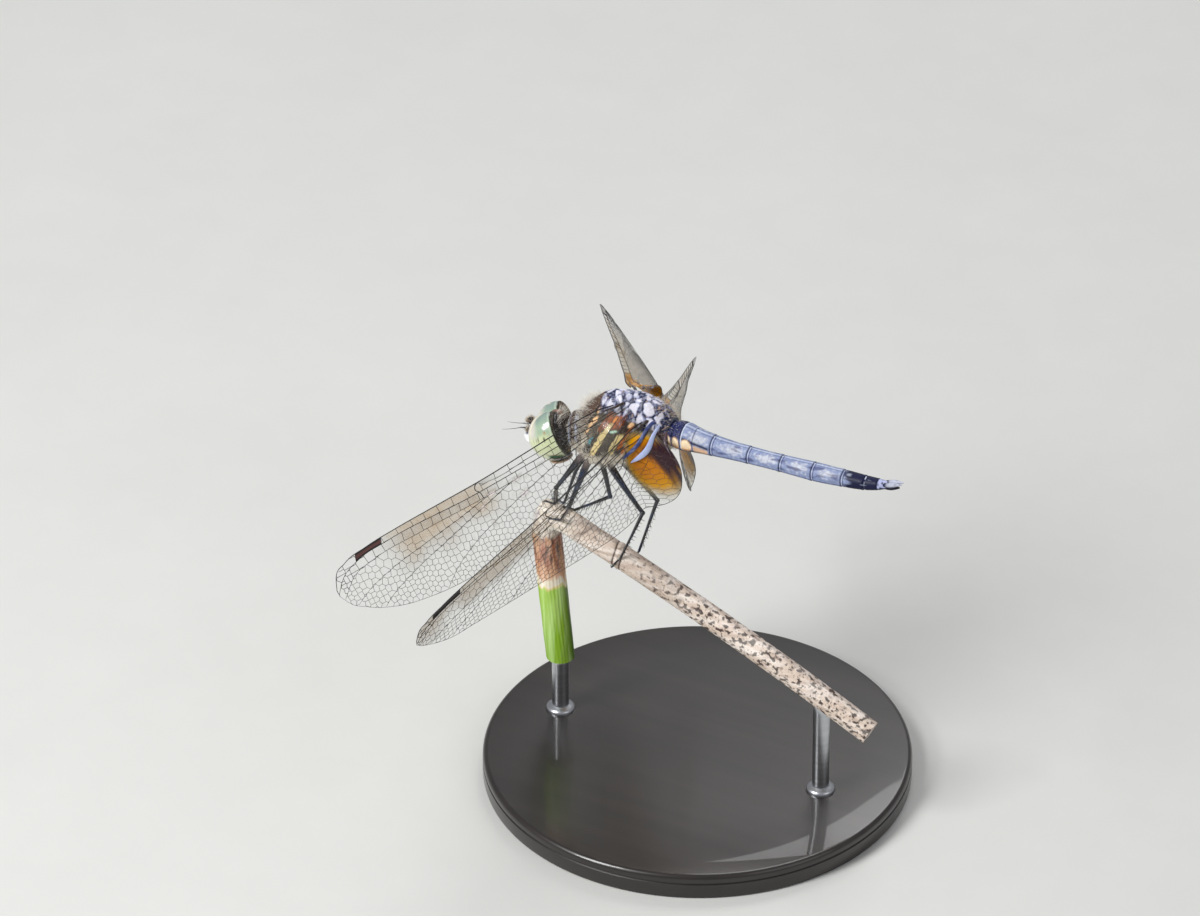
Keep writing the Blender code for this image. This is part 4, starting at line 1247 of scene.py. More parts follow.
# painted highlight: pearly white where the glints are painted
tint = mix_colour(tree, pearl, tint, colour(255, 246, 246))
tree.links.new(tint, shader.inputs["Base Color"])
veil = math_node(tree, "MULTIPLY", golden, 0.93)
for film_value, weight in ((smoke, 0.34), (pearl, 0.9), (plum, 0.6)):
    veil = math_node(tree, "ADD", veil, math_node(tree, "MULTIPLY", film_value, weight))
veil = math_node(tree, "MINIMUM", math_node(tree, "ADD", veil, 0.014), 0.95)
tree.links.new(veil, shader.inputs["Alpha"])
for label, clear, less in (("Specular IOR Level", 0.7, 0.55), ("Coat Weight", 0.5, 0.42)):
    duller = math_node(tree, "SUBTRACT", clear, math_node(tree, "MULTIPLY", golden, less))
    tree.links.new(duller, shader.inputs[label])
add_bump(tree, shader, noise_node(tree, object_coordinates(tree), 1400.0, 2.0), 0.35, 0.05)

# %% Where the film is stained, and where light and shadow are painted on it
AMBER_STAINS = {
    # middle u and v, half length, half width, strength
    "wing_fore_left": (0.07, 0.05, 0.06, 0.05, 0.05),
    "wing_hind_left": (0.06, 0.12, 0.04, 0.096, 1.0),
    # the right wings' amber lobes are larger and stronger partly as painted light, a golden wash seen
    # through their clear film
    "wing_fore_right": (0.08, 0.07, 0.12, 0.08, 0.75),
    "wing_hind_right": (0.08, 0.12, 0.12, 0.12, 0.85),
}
GLINT_VEINS = {"fore": (4, 5, 6, 7), "hind": (5, 6)}  # rows of the plan that carry painted pearly glints
GLINT_STRENGTH = {"wing_fore_left": 1.0, "wing_hind_left": 0.35}


def amber_and_plum(name, u, v, broad, fine, plan_places):
    """The amber lobe near the root and the plum brown skin inside it, each 0 to 1. The right wings' lobes
    are partly painted light, and the dark streaks along the hindwing's rear edge are partly painted shadow.
    """
    amber_u, amber_v, reach, depth, most = AMBER_STAINS[name]
    from_middle = np.hypot((u - amber_u) / reach, (v - amber_v) / depth)
    amber = clamp(2.6 - 1.8 * from_middle + broad * 0.25) * most * (1 - 0.5 * step(v, amber_v + 0.07, 0.1))
    if WINGS[name][0] == "fore":
        return amber, np.zeros(len(u))
    plum_edge = 0.062 - 0.16 * (v - 0.075)
    plum = band(v, 0.06, 0.2, 0.03) * (1 - step(u + 0.01 * fine - plum_edge, 0.0, 0.016))
    # dark streaks along the rear edge next to the body: membranule brown, and partly painted shadow cast by
    # the abdomen
    streaks = 0.75 + 1.6 * wander(plan_places * np.array((6.0, 0.7, 1.0)), 0.5, 55.0)
    streaks = np.clip(streaks, 0.3, 1) * band(v, 0.17, 0.25, 0.03) * (1 - step(u, 0.052, 0.016))
    return amber, np.maximum(plum, streaks)


def glints(name, u, v, fine):
    """Painted highlight: pearly dashes along the pleats where light catches them, and a faint painted
    sparkle elsewhere.
    """
    kind = WINGS[name][0]
    grid, rows, _ = plans[kind][0]
    pearl = np.zeros(len(u))
    for k in GLINT_VEINS[kind]:
        row = np.interp(u, grid, rows[k])
        along_vein = np.stack([u * 14.0, np.full(len(u), 9.0 * k), (v - row) * 18.0], 1)
        dashes = clamp(wander(along_vein, 0.6, 31.0) * 5.0 - 0.6)
        pearl = np.maximum(pearl, dashes * hump(v - row, 0.0065))
    pearl *= np.exp(-(((u - 0.43) / 0.14) ** 4)) * GLINT_STRENGTH.get(name, 0.0)
    return clamp(np.maximum(pearl, 0.12 * clamp(fine * 1.8 - 0.5) * step(u, 0.3, 0.1)))


def film_masks(name, u, v):
    """How much amber, smoke, painted glint and plum each point of the film shows, each 0 to 1. The glints
    are painted highlight, and part of the amber, smoke and plum is painted light and shadow.
    """
    kind = WINGS[name][0]
    plan_places = np.stack([u * 30.0, v * 30.0, np.zeros(len(u))], 1)
    broad = wander(plan_places, 3.0, 4.0 if kind == "fore" else 9.0)
    fine = wander(plan_places, 0.55, 2.0)
    amber, plum = amber_and_plum(name, u, v, broad, fine, plan_places)
    smoke = band(u, 0.45, 0.8 if kind == "fore" else 1.2, 0.16) * (1 - step(v, 0.1 + 0.05 * broad, 0.12))
    smoke *= clamp(0.85 + broad * 0.2 + fine * 0.12)
    if name.endswith("right"):  # painted light: a thin golden wash from root to tip stands in for warm light seen through the clear film of these wings
        smoke = np.maximum(smoke, 0.75 * band(v, 0.02, 0.22, 0.1) * (1 - step(u, 0.95, 0.3)))
        amber = np.maximum(amber, 0.17 * (1 - step(u, 0.7, 0.5)))
    return {"amber": amber, "smoke": smoke, "pearl": glints(name, u, v, fine), "plum": plum}


# %% The film's shell
FILM_HALF = 0.012  # half the film's thickness
FILM_STEPS = 200
STRIP_STEPS = 5


def film_grid(kind):
    """Grid places of the film: rows along u, columns that follow the long veins."""
    grid, rows, _ = plans[kind][0]
    u = np.linspace(0.004, 0.999, FILM_STEPS)
    at = np.array([np.interp(u, grid, row) for row in rows])
    columns = []
    for low, high in zip(at[:-1], at[1:]):
        columns.extend(low + (high - low) * t / STRIP_STEPS for t in range(STRIP_STEPS))
    columns.append(at[-1])
    v = np.array(columns).T
    return np.repeat(u, v.shape[1]), v.ravel(), v.shape


def shell_faces(count, width):
    """Faces of a thin closed shell: a grid on top, its copy beneath and a wall around them."""
    layer = count * width
    faces = []
    for i in range(count - 1):
        for j in range(width - 1):
            a, b = i * width + j, i * width + j + 1
            c, d = b + width, a + width
            faces.append((a, b, c, d))
            faces.append((d + layer, c + layer, b + layer, a + layer))
    border = list(range(width)) + [i * width + width - 1 for i in range(1, count)]
    border += [(count - 1) * width + j for j in range(width - 2, -1, -1)]
    border += [i * width for i in range(count - 2, 0, -1)]
    for a, b in zip(border, border[1:] + border[:1]):
        faces.append((b, a, a + layer, b + layer))
    return faces


def shell(name, u, v, half):
    """Points of the two sides of a shell on a wing, half a thickness off the film each."""
    return np.concatenate([on_wing(name, u, v, half), on_wing(name, u, v, -half)])


for name, (kind, *_) in WINGS.items():
    u, v, shape = film_grid(kind)
    masks = {key: np.tile(value, 2) for key, value in film_masks(name, u, v).items()}
    piece = add_piece(f"{name}_film", shell(name, u, v, FILM_HALF), shell_faces(*shape), film, masks=masks)
    face_outwards(piece.data, merge=True)
    stand_in(piece, "wing", name)

# %% [markdown]
# ## The net of veins
# Cells fill the strips between long veins. Each strip is sown with seed points in staggered rows,
# and the seeds are mirrored across both its long veins. The borders halfway between neighbouring
# seeds are then the cross veins, and thanks to the mirror images they stop exactly at the long
# veins. The result is a mesh of bare edges. A Geometry Nodes tree turns each edge into a fine tube,
# as thick as the value stored on its points.

# %% Sowing the cells
CELL_SIZES = {"fore": (0.8, 0.42), "hind": (0.85, 0.44)}  # near the front and far behind it
LADDERS = (1.7, 1.7, 1.15, 0.85)  # how far apart the rungs stand in strips one cell wide


def strip_seeds(low, high, u, length, chooser, sizes, rear_edge, ladder):
    """Seeds in staggered rows between two long veins, with mirror images across both."""
    seeds, at, column = [], 0.008, 0
    while at < 0.995:
        a, b = np.interp(at, u, low), np.interp(at, u, high)
        width = (b - a) * length
        if width < 0.12:
            at += 0.006
            continue
        far = clamp((a + b) / 2 / np.interp(at, u, rear_edge)) ** 1.5
        far = max(far, clamp((at - 0.86) / 0.12))
        size = sizes[0] + (sizes[1] - sizes[0]) * far
        count = max(1, round(width / size))
        pitch = size if count > 1 else max(width * 1.1, ladder)
        shift = 0.25 * (1 if column % 2 else -1) if count > 1 else 0.0
        row = []
        for k in range(count):
            share = (k + 0.5 + shift + chooser.uniform(-0.1, 0.1)) / count
            row.append(a + (b - a) * min(max(share, 0.04), 0.96))
        across = at + chooser.uniform(-0.12, 0.12) * pitch / length
        mirrored = (2 * a - row[0], 2 * b - row[-1])
        seeds.extend((across, place) for place in (*row, *mirrored))
        at += 0.87 * pitch / length
        column += 1
    return seeds


def circle_centre(a, b, c):
    """Centre of the circle through three plan points."""
    d = 2 * (a[0] * (b[1] - c[1]) + b[0] * (c[1] - a[1]) + c[0] * (a[1] - b[1]))
    if abs(d) < 1e-9:
        return None
    aa, bb, cc = (p[0] ** 2 + p[1] ** 2 for p in (a, b, c))
    return (
        (aa * (b[1] - c[1]) + bb * (c[1] - a[1]) + cc * (a[1] - b[1])) / d,
        (aa * (c[0] - b[0]) + bb * (a[0] - c[0]) + cc * (b[0] - a[0])) / d,
    )


def cell_borders(seeds, length):
    """Borders between the seeds' cells as pairs of points. Plan lengths in millimetres."""
    spots = [Vector((s[0] * length, s[1] * length)) for s in seeds]
    spots, _, triangles, _, _, _ = delaunay_2d_cdt(spots, [], [], 0, 1e-6)
    centres = [circle_centre(*[spots[k] for k in triangle]) for triangle in triangles]
    shared = {}
    for index, triangle in enumerate(triangles):
        for k in range(3):
            key = tuple(sorted((triangle[k], triangle[(k + 1) % 3])))
            shared.setdefault(key, []).append(index)
    for owners in shared.values():
        ends = [centres[owner] for owner in owners]
        if len(ends) == 2 and None not in ends:
            yield ends


def clipped(start, end, u, low, high, length):
    """The start of a border, pulled back to the long vein that it crosses, as plan shares."""
    (x, y, s, _), (x2, y2, s2, _) = start, end
    limit = 0.0 if s < 0 else 1.0 if s > 1 else None
    if limit is not None and abs(s2 - s) > 1e-6:
        t = (limit - s) / (s2 - s)
        x, y = x + (x2 - x) * t, y + (y2 - y) * t
    at = min(x / length, 0.993)
    return at, min(max(y / length, np.interp(at, u, low)), np.interp(at, u, high))


def strip_net(low, high, u, length, seeds):
    """The cross veins of one strip, cut off at its two long veins."""
    if len(seeds) < 6:
        return []
    edges = []
    for border in cell_borders(seeds, length):
        ends = []
        for x, y in border:
            a, b = np.interp(x / length, u, low) * length, np.interp(x / length, u, high) * length
            ends.append((x, y, (y - a) / max(b - a, 1e-6), b - a))
        (x0, y0, s0, w0), (x1, y1, s1, w1) = ends
        if min(w0, w1) < 0.08 or max(s0, s1) < 0.03 or min(s0, s1) > 0.97:
            continue
        if math.hypot(x1 - x0, y1 - y0) > 3.2:
            continue
        edge = [clipped(*pair, u, low, high, length) for pair in (ends, ends[::-1])]
        if math.dist(*edge) * length > 0.04:
            edges.append(edge)
    return edges


def wing_net(kind, length):
    """Every vein of one wing's plan, as chains of (u, v) with a radius at both ends."""
    (u, rows, spans), veins = plans[kind]
    front, rear = rows[0], rows[-1]
    last = len(rows) - 1
    chooser = random.Random(7 if kind == "fore" else 11)
    chains = []
    for k in range(last):
        ladder = LADDERS[min(k, 3)]
        seeds = strip_seeds(rows[k], rows[k + 1], u, length, chooser, CELL_SIZES[kind], rear, ladder)
        radius = 0.024 if k < 3 else 0.0175
        for edge in strip_net(rows[k], rows[k + 1], u, length, seeds):
            chains.append((edge, radius, radius))
    for k, row in enumerate(rows):
        on_edge = k in (0, last)
        thick = {0: 0.062, last: 0.03}[k] if on_edge else veins[k - 1][1] * 0.62
        keep = []
        for i, at in enumerate(u):
            clear = front[i] + 0.0004 < row[i] < rear[i] - 0.0015
            inside = on_edge or (clear and spans[k][0] <= at <= spans[k][1])
            if inside and at < 0.999:
                keep.append((at, row[i]))
        chains.append((keep[::2] + keep[-1:], thick, thick * 0.55))
    tip = [(0.9985, front[-2] + (rear[-2] - front[-2]) * t) for t in (0.0, 0.5, 1.0)]
    chains.append((tip, 0.035, 0.025))
    return chains


# %% Tubes for the veins
def new_geometry_tree(name, inputs):
    """A Geometry Nodes tree with named inputs and one mesh output."""
    shape = ("Geometry", "Geometry")
    return new_tree(name, "GeometryNodeTree", (shape, *inputs), (shape,))


def end_tree(tree, geometry, start, end):
    """Makes copies real and gives them their finish, as the last steps of a tree."""
    real = add_node(tree, "GeometryNodeRealizeInstances", {0: geometry})
    inputs = {"Geometry": real.outputs[0], "Material": start.outputs["Finish"]}
    finish = add_node(tree, "GeometryNodeSetMaterial", inputs)
    tree.links.new(finish.outputs[0], end.inputs[0])


def stored_value(tree, name, kind):
    node = add_node(tree, "GeometryNodeInputNamedAttribute", {"Name": name}, data_type=kind)
    return node.outputs["Attribute"]


def run_tree(piece, tree, **values):
    """Runs a tree on a piece with the given input values and keeps the result as its plain mesh."""
    modifier = piece.modifiers.new(tree.name, "NODES")
    modifier.node_group = tree
    sockets = {item.name: item.identifier for item in tree.interface.items_tree if item.in_out == "INPUT"}
    for label, value in values.items():
        modifier[sockets[label]] = value
    evaluated = piece.evaluated_get(bpy.context.evaluated_depsgraph_get())
    made = bpy.data.meshes.new_from_object(evaluated)
    piece.modifiers.remove(modifier)
    piece.data = made
    made.shade_smooth()


tubes, start, end = new_geometry_tree("veins_to_tubes", (
    ("Thickness", "Float", 1.0), ("Sides", "Int", 6), ("Finish", "Material"),
))
vein_radius = stored_value(tubes, "vein_radius", "FLOAT")
radius = math_node(tubes, "MULTIPLY", vein_radius, start.outputs["Thickness"])
curve = add_node(tubes, "GeometryNodeMeshToCurve", {"Mesh": start.outputs["Geometry"]}).outputs[0]
curve = add_node(tubes, "GeometryNodeSetCurveRadius", {"Curve": curve, "Radius": radius}).outputs[0]
circle = {"Resolution": start.outputs["Sides"], "Radius": 1.0}
circle = add_node(tubes, "GeometryNodeCurvePrimitiveCircle", circle).outputs[0]
to_mesh = {"Curve": curve, "Profile Curve": circle, "Fill Caps": True}
to_mesh = add_node(tubes, "GeometryNodeCurveToMesh", to_mesh)
if "Scale" in to_mesh.inputs:
    tubes.links.new(add_node(tubes, "GeometryNodeInputRadius").outputs[0], to_mesh.inputs["Scale"])
end_tree(tubes, to_mesh.outputs[0], start, end)

vein_finish, tree, shader = new_material("vein_horn", roughness=0.35, coat=0.4)
tone = mix_colour(tree, attribute_node(tree, "amber", "Fac"), colour(26, 23, 24), colour(64, 36, 12))
add_grain(tree, shader, tone, 900.0, 0.3, 0.3, 0.01)

# %% The veins
NODUS = {
    # the strong kink halfway along the front edge: places (u, v)
    "fore": ((0.470, 0.0), (0.482, 0.003), (0.490, 0.011), (0.490, 0.021), (0.482, 0.03), (0.478, 0.05)),
    "hind": ((0.414, 0.0), (0.426, 0.003), (0.434, 0.011), (0.434, 0.021), (0.427, 0.03), (0.423, 0.051)),
}
EXTRAS = {
    # arculus and triangle near the root: places (u, v) of both ends
    "fore": (
        ((0.115, 0.025), (0.115, 0.048)), ((0.165, 0.056), (0.195, 0.06)),
        ((0.165, 0.056), (0.185, 0.1)), ((0.195, 0.06), (0.185, 0.1)), ((0.15, 0.1), (0.185, 0.1)),
    ),
    "hind": (
        ((0.1, 0.027), (0.1, 0.05)), ((0.1, 0.05), (0.125, 0.087)),
        ((0.1, 0.05), (0.17, 0.065)), ((0.125, 0.087), (0.17, 0.065)),
    ),
}


def add_veins(name, kind, length):
    """The whole net of one wing, bent into place, as one mesh of tubes."""
    chains = wing_net(kind, length)
    chains.append((smooth_path(NODUS[kind], 16).tolist(), 0.055, 0.04))
    chains += [([a, b], 0.035, 0.035) for a, b in EXTRAS[kind]]
    places, edges, radii = [], [], []
    for chain, thick, thin in chains:
        first = len(places)
        places.extend(chain)
        radii.extend(thick + (thin - thick) * k / max(len(chain) - 1, 1) for k in range(len(chain)))
        edges.extend((k - 1, k) for k in range(first + 1, len(places)))
    u, v = np.array(places).T
    mesh = new_mesh(f"{name}_veins", on_wing(name, u, v, 0.0), edges, [])
    store(mesh, "vein_radius", "FLOAT", np.array(radii) * MM)
    store(mesh, "amber", "FLOAT", film_masks(name, u, v)["amber"])
    piece = in_scene(mesh.name, mesh)
    run_tree(piece, tubes, Finish=vein_finish, Sides=6)
    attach(piece, "root")
    stand_in(piece, "wing", name)
    print(piece.name, len(chains), "chains", len(piece.data.polygons), "faces")


for name, (kind, length, *_) in WINGS.items():
    add_veins(name, kind, length)

# %% [markdown]
# ## The wing roots
# A dragonfly beats each wing on a few small hard plates at its root. The front edge starts from a
# dark knob, and two flat straps run out along the first strong veins of the hindwing: a dark blue
# bar and, behind it, a pale blade. They are flattened tubes laid on the wing's own plan, so they
# follow the wing wherever it is posed. Those of the hindwing stand slightly off its amber film.

# %% Knobs and straps
STRAPS = {
    # each strap: colour, flatness, then places (u, v, radius in mm)
    "fore": (
        (BROWN, 0.5, ((-0.026, 0.012, 0.15), (0.0, 0.01, 0.15), (0.02, 0.004, 0.09), (0.045, 0.0, 0.06))),
        (BROWN, 0.5, ((-0.022, 0.035, 0.12), (0.0, 0.04, 0.11), (0.025, 0.035, 0.06))),
        (PLUM, 0.4, ((-0.022, 0.062, 0.1), (0.01, 0.07, 0.07), (0.03, 0.08, 0.03))),
    ),
    "hind": (
        (BROWN, 0.6, ((-0.028, 0.01, 0.17), (0.0, 0.008, 0.16), (0.03, 0.002, 0.09), (0.06, -0.004, 0.06))),
        (colour(34, 52, 112), 0.5, (
            (-0.03, 0.026, 0.2), (0.01, 0.027, 0.17), (0.06, 0.04, 0.2), (0.1, 0.052, 0.15),
            (0.118, 0.056, 0.05),
        )),
        (colour(164, 176, 216), 0.3, (
            (-0.025, 0.046, 0.12), (0.012, 0.056, 0.19), (0.05, 0.072, 0.3), (0.08, 0.08, 0.22),
            (0.1, 0.086, 0.05),
        )),
        (PLUM, 0.4, ((-0.02, 0.08, 0.14), (0.005, 0.1, 0.1), (0.02, 0.14, 0.03))),
    ),
}
STRAP_LIFT = {"fore": 0.0, "hind": 0.2}  # how far the straps stand off the film, in millimetres
STRAP_STEPS = 24
root_finish = grained("wing_root", bump=0.35, roughness=0.35, coat=0.3)
for name, (kind, *_) in WINGS.items():
    parts, paints = [], []
    lift = np.full(STRAP_STEPS, STRAP_LIFT[kind])
    for shade, flat, places in STRAPS[kind]:
        u, v, radii = smooth_path(places, STRAP_STEPS).T
        path = wing_place(name, u, v, lift)
        above = wing_place(name, u, v, lift + 1) - path
        points, faces = tube(path, radii, 18, flat, above[STRAP_STEPS // 2])
        parts.append((points, faces))
        worn = clamp(wander(points, 0.3, 6.0) * 1.4) * 0.35
        paints.append(over(plain(shade, len(points)), (worn, MILK)))
    points, faces = joined(parts)
    root = add_piece(f"{name}_root", moved(BODY, points), faces, root_finish, np.concatenate(paints))
    stand_in(root, "wing", name)

# %% [markdown]
# ## The dark spots near the wing tips
# The pterostigma is a thickened cell on the front edge that steadies the wing in flight. It is a
# small solid lens, brown inside with a black border, laid between the front edge and the radius.

# %% Spots near the tips
SPOT_SPAN = {"fore": (0.812, 0.905), "hind": (0.805, 0.922)}
SPOT_BROWN = {"fore": colour(80, 50, 44), "hind": colour(30, 24, 24)}
SPOT_HALF = 0.06
SPOT_LINES, SPOT_ACROSS = 60, 14
spot_finish = grained("spot_horn", strength=0.25, depth=0.015, roughness=0.3, coat=0.5)

for name, (kind, *_) in WINGS.items():
    grid, rows, _ = plans[kind][0]
    t = np.tile(np.linspace(0.02, 0.98, SPOT_ACROSS), SPOT_LINES)
    u = np.repeat(np.linspace(*SPOT_SPAN[kind], SPOT_LINES), SPOT_ACROSS) + 0.008 * (t - 0.5)
    v = np.interp(u, grid, rows[0]) * (1 - t) + np.interp(u, grid, rows[2]) * t
    along = (u - u.min()) / (u.max() - u.min())
    rim = np.minimum(np.minimum(t, 1 - t) * 3.5, np.minimum(along, 1 - along) * 14)
    points = shell(name, u, v, SPOT_HALF * np.sqrt(np.clip(rim, 0.05, 1)))
    paint = over(plain(colour(16, 15, 20), len(u)), (clamp(rim * 1.5 - 0.75), SPOT_BROWN[kind]))
    faces = shell_faces(SPOT_LINES, SPOT_ACROSS)
    lens = add_piece(f"{name}_spot", points, faces, spot_finish, np.tile(paint, (2, 1)))
    stand_in(lens, "wing", name)

# %% [markdown]
# ## The reed
# The perch is one reed stem, broken over: a green stem that rises to a fold, and a dead arm that
# runs down from it to the right. The green part turns brown below the fold, with a cream band
# between, and the dead arm is grey tan with dark blotches. Both are lofts along an axis, with
# shallow ridges for the fibres. Colour zones are painted along the axis, and the fine fibres come
# from noise stretched along it.

# %% The reed's axis
REED_Y = -0.3
GREEN_RADIUS, GREEN_SWELL = 1.35, 0.04
GREEN_FOOT, GREEN_TOP = (-14.3, 8.5), (-15.7, 22.1)  # x and z
SHOULDER_CENTRE, SHOULDER_OUTWARDS = (-15.5, 23.35), (-1.3, 0.72)
FOLD_CENTRE, FOLD_INNER = (-15.2, 24.15), (0.95, -1.35)
FOLD_WIDER = 1.12
DRY_RADIUS = 1.15
DRY_START = (-13.95, 24.1)
DRY_SLOPE, DRY_SAG = -0.357, -0.00203
DRY_CLEAR_OF_FOLD = 0.25
DRY_END_X = 18.0
REED_COLUMNS = 160


def in_reed_plane(x, z, y=REED_Y):
    return np.array((x, y, z))


def dry_axis(x):
    """The centre of the dead arm at x, and its upward direction across the stem."""
    along = x - DRY_START[0]
    slope = DRY_SLOPE + 2 * DRY_SAG * along
    size = math.hypot(1.0, slope)
    centre = in_reed_plane(x, DRY_START[1] + DRY_SLOPE * along + DRY_SAG * along * along)
    return centre, np.array((-slope / size, 0.0, 1.0 / size))


def on_dry_arm(x, degrees, lift):
    """A point off the dead arm's surface, degrees round from its top to its left."""
    centre, up = dry_axis(x)
    turn = math.radians(degrees)
    return centre + (up * math.cos(turn) + np.array((0.0, -1.0, 0.0)) * math.sin(turn)) * (DRY_RADIUS + lift)


def reed_rings(stations, steps):
    """Rings between given stations (centre, side, up), eased from one to the next."""
    rows = smooth_path([(*centre, *side, *up) for centre, side, up in stations], steps)[:, None]
    turn = ring_turns(REED_COLUMNS)
    points = rows[..., 0:3] + np.cos(turn)[None, :, None] * rows[..., 3:6]
    points = points + np.sin(turn)[None, :, None] * rows[..., 6:9]
    return points.reshape(-1, 3), np.tile(turn, steps)


def grown(points, growth, radius):
    """Points of the reed's rings moved away from its axis."""
    middle = np.repeat(points.reshape(-1, REED_COLUMNS, 3).mean(1), REED_COLUMNS, 0)
    return middle + (points - middle) * (1 + growth / radius)[:, None]


def stretched(points, along, size, shift, across=1.0):
    """Noise drawn out along the green stem where along is less than 1."""
    return wander(points * np.array((across, across, along)), size, shift)


def reed_finish(name, stretch, bump):
    """A plant stem: painted zones under fine fibres that run along the stem."""
    made, tree, shader = new_material(name, roughness=0.5, specular=0.4)
    fibre = use_group(tree, fibres, Scale=1500.0, Stretch=stretch)
    base = attribute_node(tree, "paint")
    dark = mix_colour(tree, 1.0, base, (0.74, 0.7, 0.64), "MULTIPLY")
    light = mix_colour(tree, 0.22, base, (1.0, 0.98, 0.9))
    streak = math_node(tree, "MULTIPLY", math_node(tree, "SUBTRACT", fibre["Streak"], 0.42), 4.0)
    streak = math_node(tree, "MINIMUM", math_node(tree, "MAXIMUM", streak, 0.0), 1.0)
    tree.links.new(mix_colour(tree, streak, dark, light), shader.inputs["Base Color"])
    add_bump(tree, shader, fibre["Fine"], bump, 0.04)
    return made


# %% The green stem
LEAF = colour(160, 212, 50)
GREEN_RINGS = 300
PAINTED_SHADE_TURN = -1.35  # painted shade: a darker strip runs down the side of the stem away from the light
GREEN_SHARES = (0.0, 0.25, 0.5, 0.75, 0.92, 1.0)
side = np.array((0.0, 1.0, 0.0))
foot, top = in_reed_plane(*GREEN_FOOT), in_reed_plane(*GREEN_TOP)
stations = []
for share in GREEN_SHARES:
    swell = 1.0 + GREEN_SWELL * share
    up = np.array((-1.0, 0, 0)) * GREEN_RADIUS * swell
    stations.append((foot + (top - foot) * share, side * GREEN_RADIUS * swell, up))
fold_side = side * GREEN_RADIUS * FOLD_WIDER
fold_station = (in_reed_plane(*FOLD_CENTRE), fold_side, -in_reed_plane(*FOLD_INNER, 0.0))
stations.append((in_reed_plane(*SHOULDER_CENTRE), fold_side, in_reed_plane(*SHOULDER_OUTWARDS, 0)))
stations.append(fold_station)
points, turn = reed_rings(stations, GREEN_RINGS)
sway = stretched(points, 0.25, 1.5, 1.0) * 0.35
ridges = 0.012 * np.sin(turn * 26 + sway * 6) + stretched(points, 0.3, 0.6, 3.0) * 0.03
creases = clamp(stretched(points, 0.3, 0.5, 13.0, 1.6) * 2.2 - 0.3) * step(points[:, 2], 19.5, 1.5)
points = grown(points, ridges - creases * 0.06 - 0.02, GREEN_RADIUS)
z = points[:, 2]
ragged = stretched(points, 0.35, 0.7, 17.0) * 0.9 + stretched(points, 0.5, 0.25, 5.0) * 0.35
from_painted_shade = (turn - PAINTED_SHADE_TURN + math.pi) % TURN - math.pi
russet = clamp(stretched(points, 0.22, 0.7, 23.0) * 2.0 + 0.25)
torn = scribbles(points * np.array((1.2, 1.2, 0.6)), 0.7, 37.0, 0.045) * step(z, 20.6, 1.2)
specks = clamp(wander(points, 0.3, 29.0) * 3 - 1.2) * step(z, 20.0, 1.0) * (1 - 0.6 * step(z, 22.3, 0.6))
paint = over(
    plain(LEAF, len(z)),
    (clamp(stretched(points, 0.12, 0.35, 6.0) + 0.3) * 0.5, colour(170, 214, 66)),
    ((1 - step(z, 13.0, 6.0)) * 0.35, colour(116, 170, 36)),
    # painted shade down one side of the stem
    (hump(from_painted_shade, 0.42) * 0.8, colour(56, 92, 26)),
    (step(z + ragged * 0.5, 16.55, 0.25), colour(232, 220, 128)),
    (step(z + ragged * 0.8, 16.8, 0.3), colour(255, 246, 224)),
    (step(z + ragged * 1.3, 17.7, 0.7), colour(232, 176, 136)),
    (russet * step(z + ragged, 18.6, 1.8) * 0.9, colour(160, 74, 30)),
    (creases * 0.9, colour(58, 28, 18)),
    (step(z + ragged * 0.4, 22.3, 0.7) * 0.92, colour(255, 244, 232)),
    (torn * 0.7, colour(70, 46, 38)),
    (specks, colour(64, 40, 30)),
)
green_finish = reed_finish("green_stem", (1.0, 1.0, 0.06), 0.35)
green = add_piece("reed_green_stem", points, loft_faces(GREEN_RINGS, REED_COLUMNS), green_finish, paint)
stand_in(green, "reed_green", "reed_green")

# %% The dead arm
DRY_RINGS = 560
DRY_STATIONS = 14
NODE_RING_X = -7.9  # a joint of the stem, with a dark groove on both sides
stations = [fold_station]
first = DRY_START[0] + DRY_CLEAR_OF_FOLD
for k in range(DRY_STATIONS + 1):
    centre, up = dry_axis(first + (DRY_END_X - first) * k / DRY_STATIONS)
    wide = FOLD_WIDER if k == 0 else 1.0
    stations.append((centre, side * DRY_RADIUS * wide, up * DRY_RADIUS))
points, turn = reed_rings(stations, DRY_RINGS)
x = points[:, 0]
ring_gap = np.abs(x - NODE_RING_X + 0.12 * np.sin(turn * 2))
node_ring = hump(ring_gap, 0.16) - 0.8 * hump(ring_gap - 0.36, 0.08)
lengthwise = points * np.array((0.22, 1.0, 1.0))
dents = clamp(wander(points, 0.5, 41.0) * 2 - 0.6)
growth = 0.018 * np.sin(turn * 30 + wander(lengthwise, 1.2) * 5) + node_ring * 0.06 - dents * 0.03 - 0.025
points = grown(points, growth, DRY_RADIUS)
blotch = wander(points * np.array((0.75, 1, 1)), 0.34, 51.0) + wander(points, 0.16, 8.0) * 0.35
density = step(x, -5.5, 14.0)
cracks = clamp(wander(points * np.array((0.8, 2.4, 2.4)), 0.6, 71.0) * 5 - 2.2) * (1 - step(x, -13.2, 1.4))
near_fold = 1 - step(x, -12.6, 1.0)
beneath = step(-np.sin(turn), 0.25, 0.3)
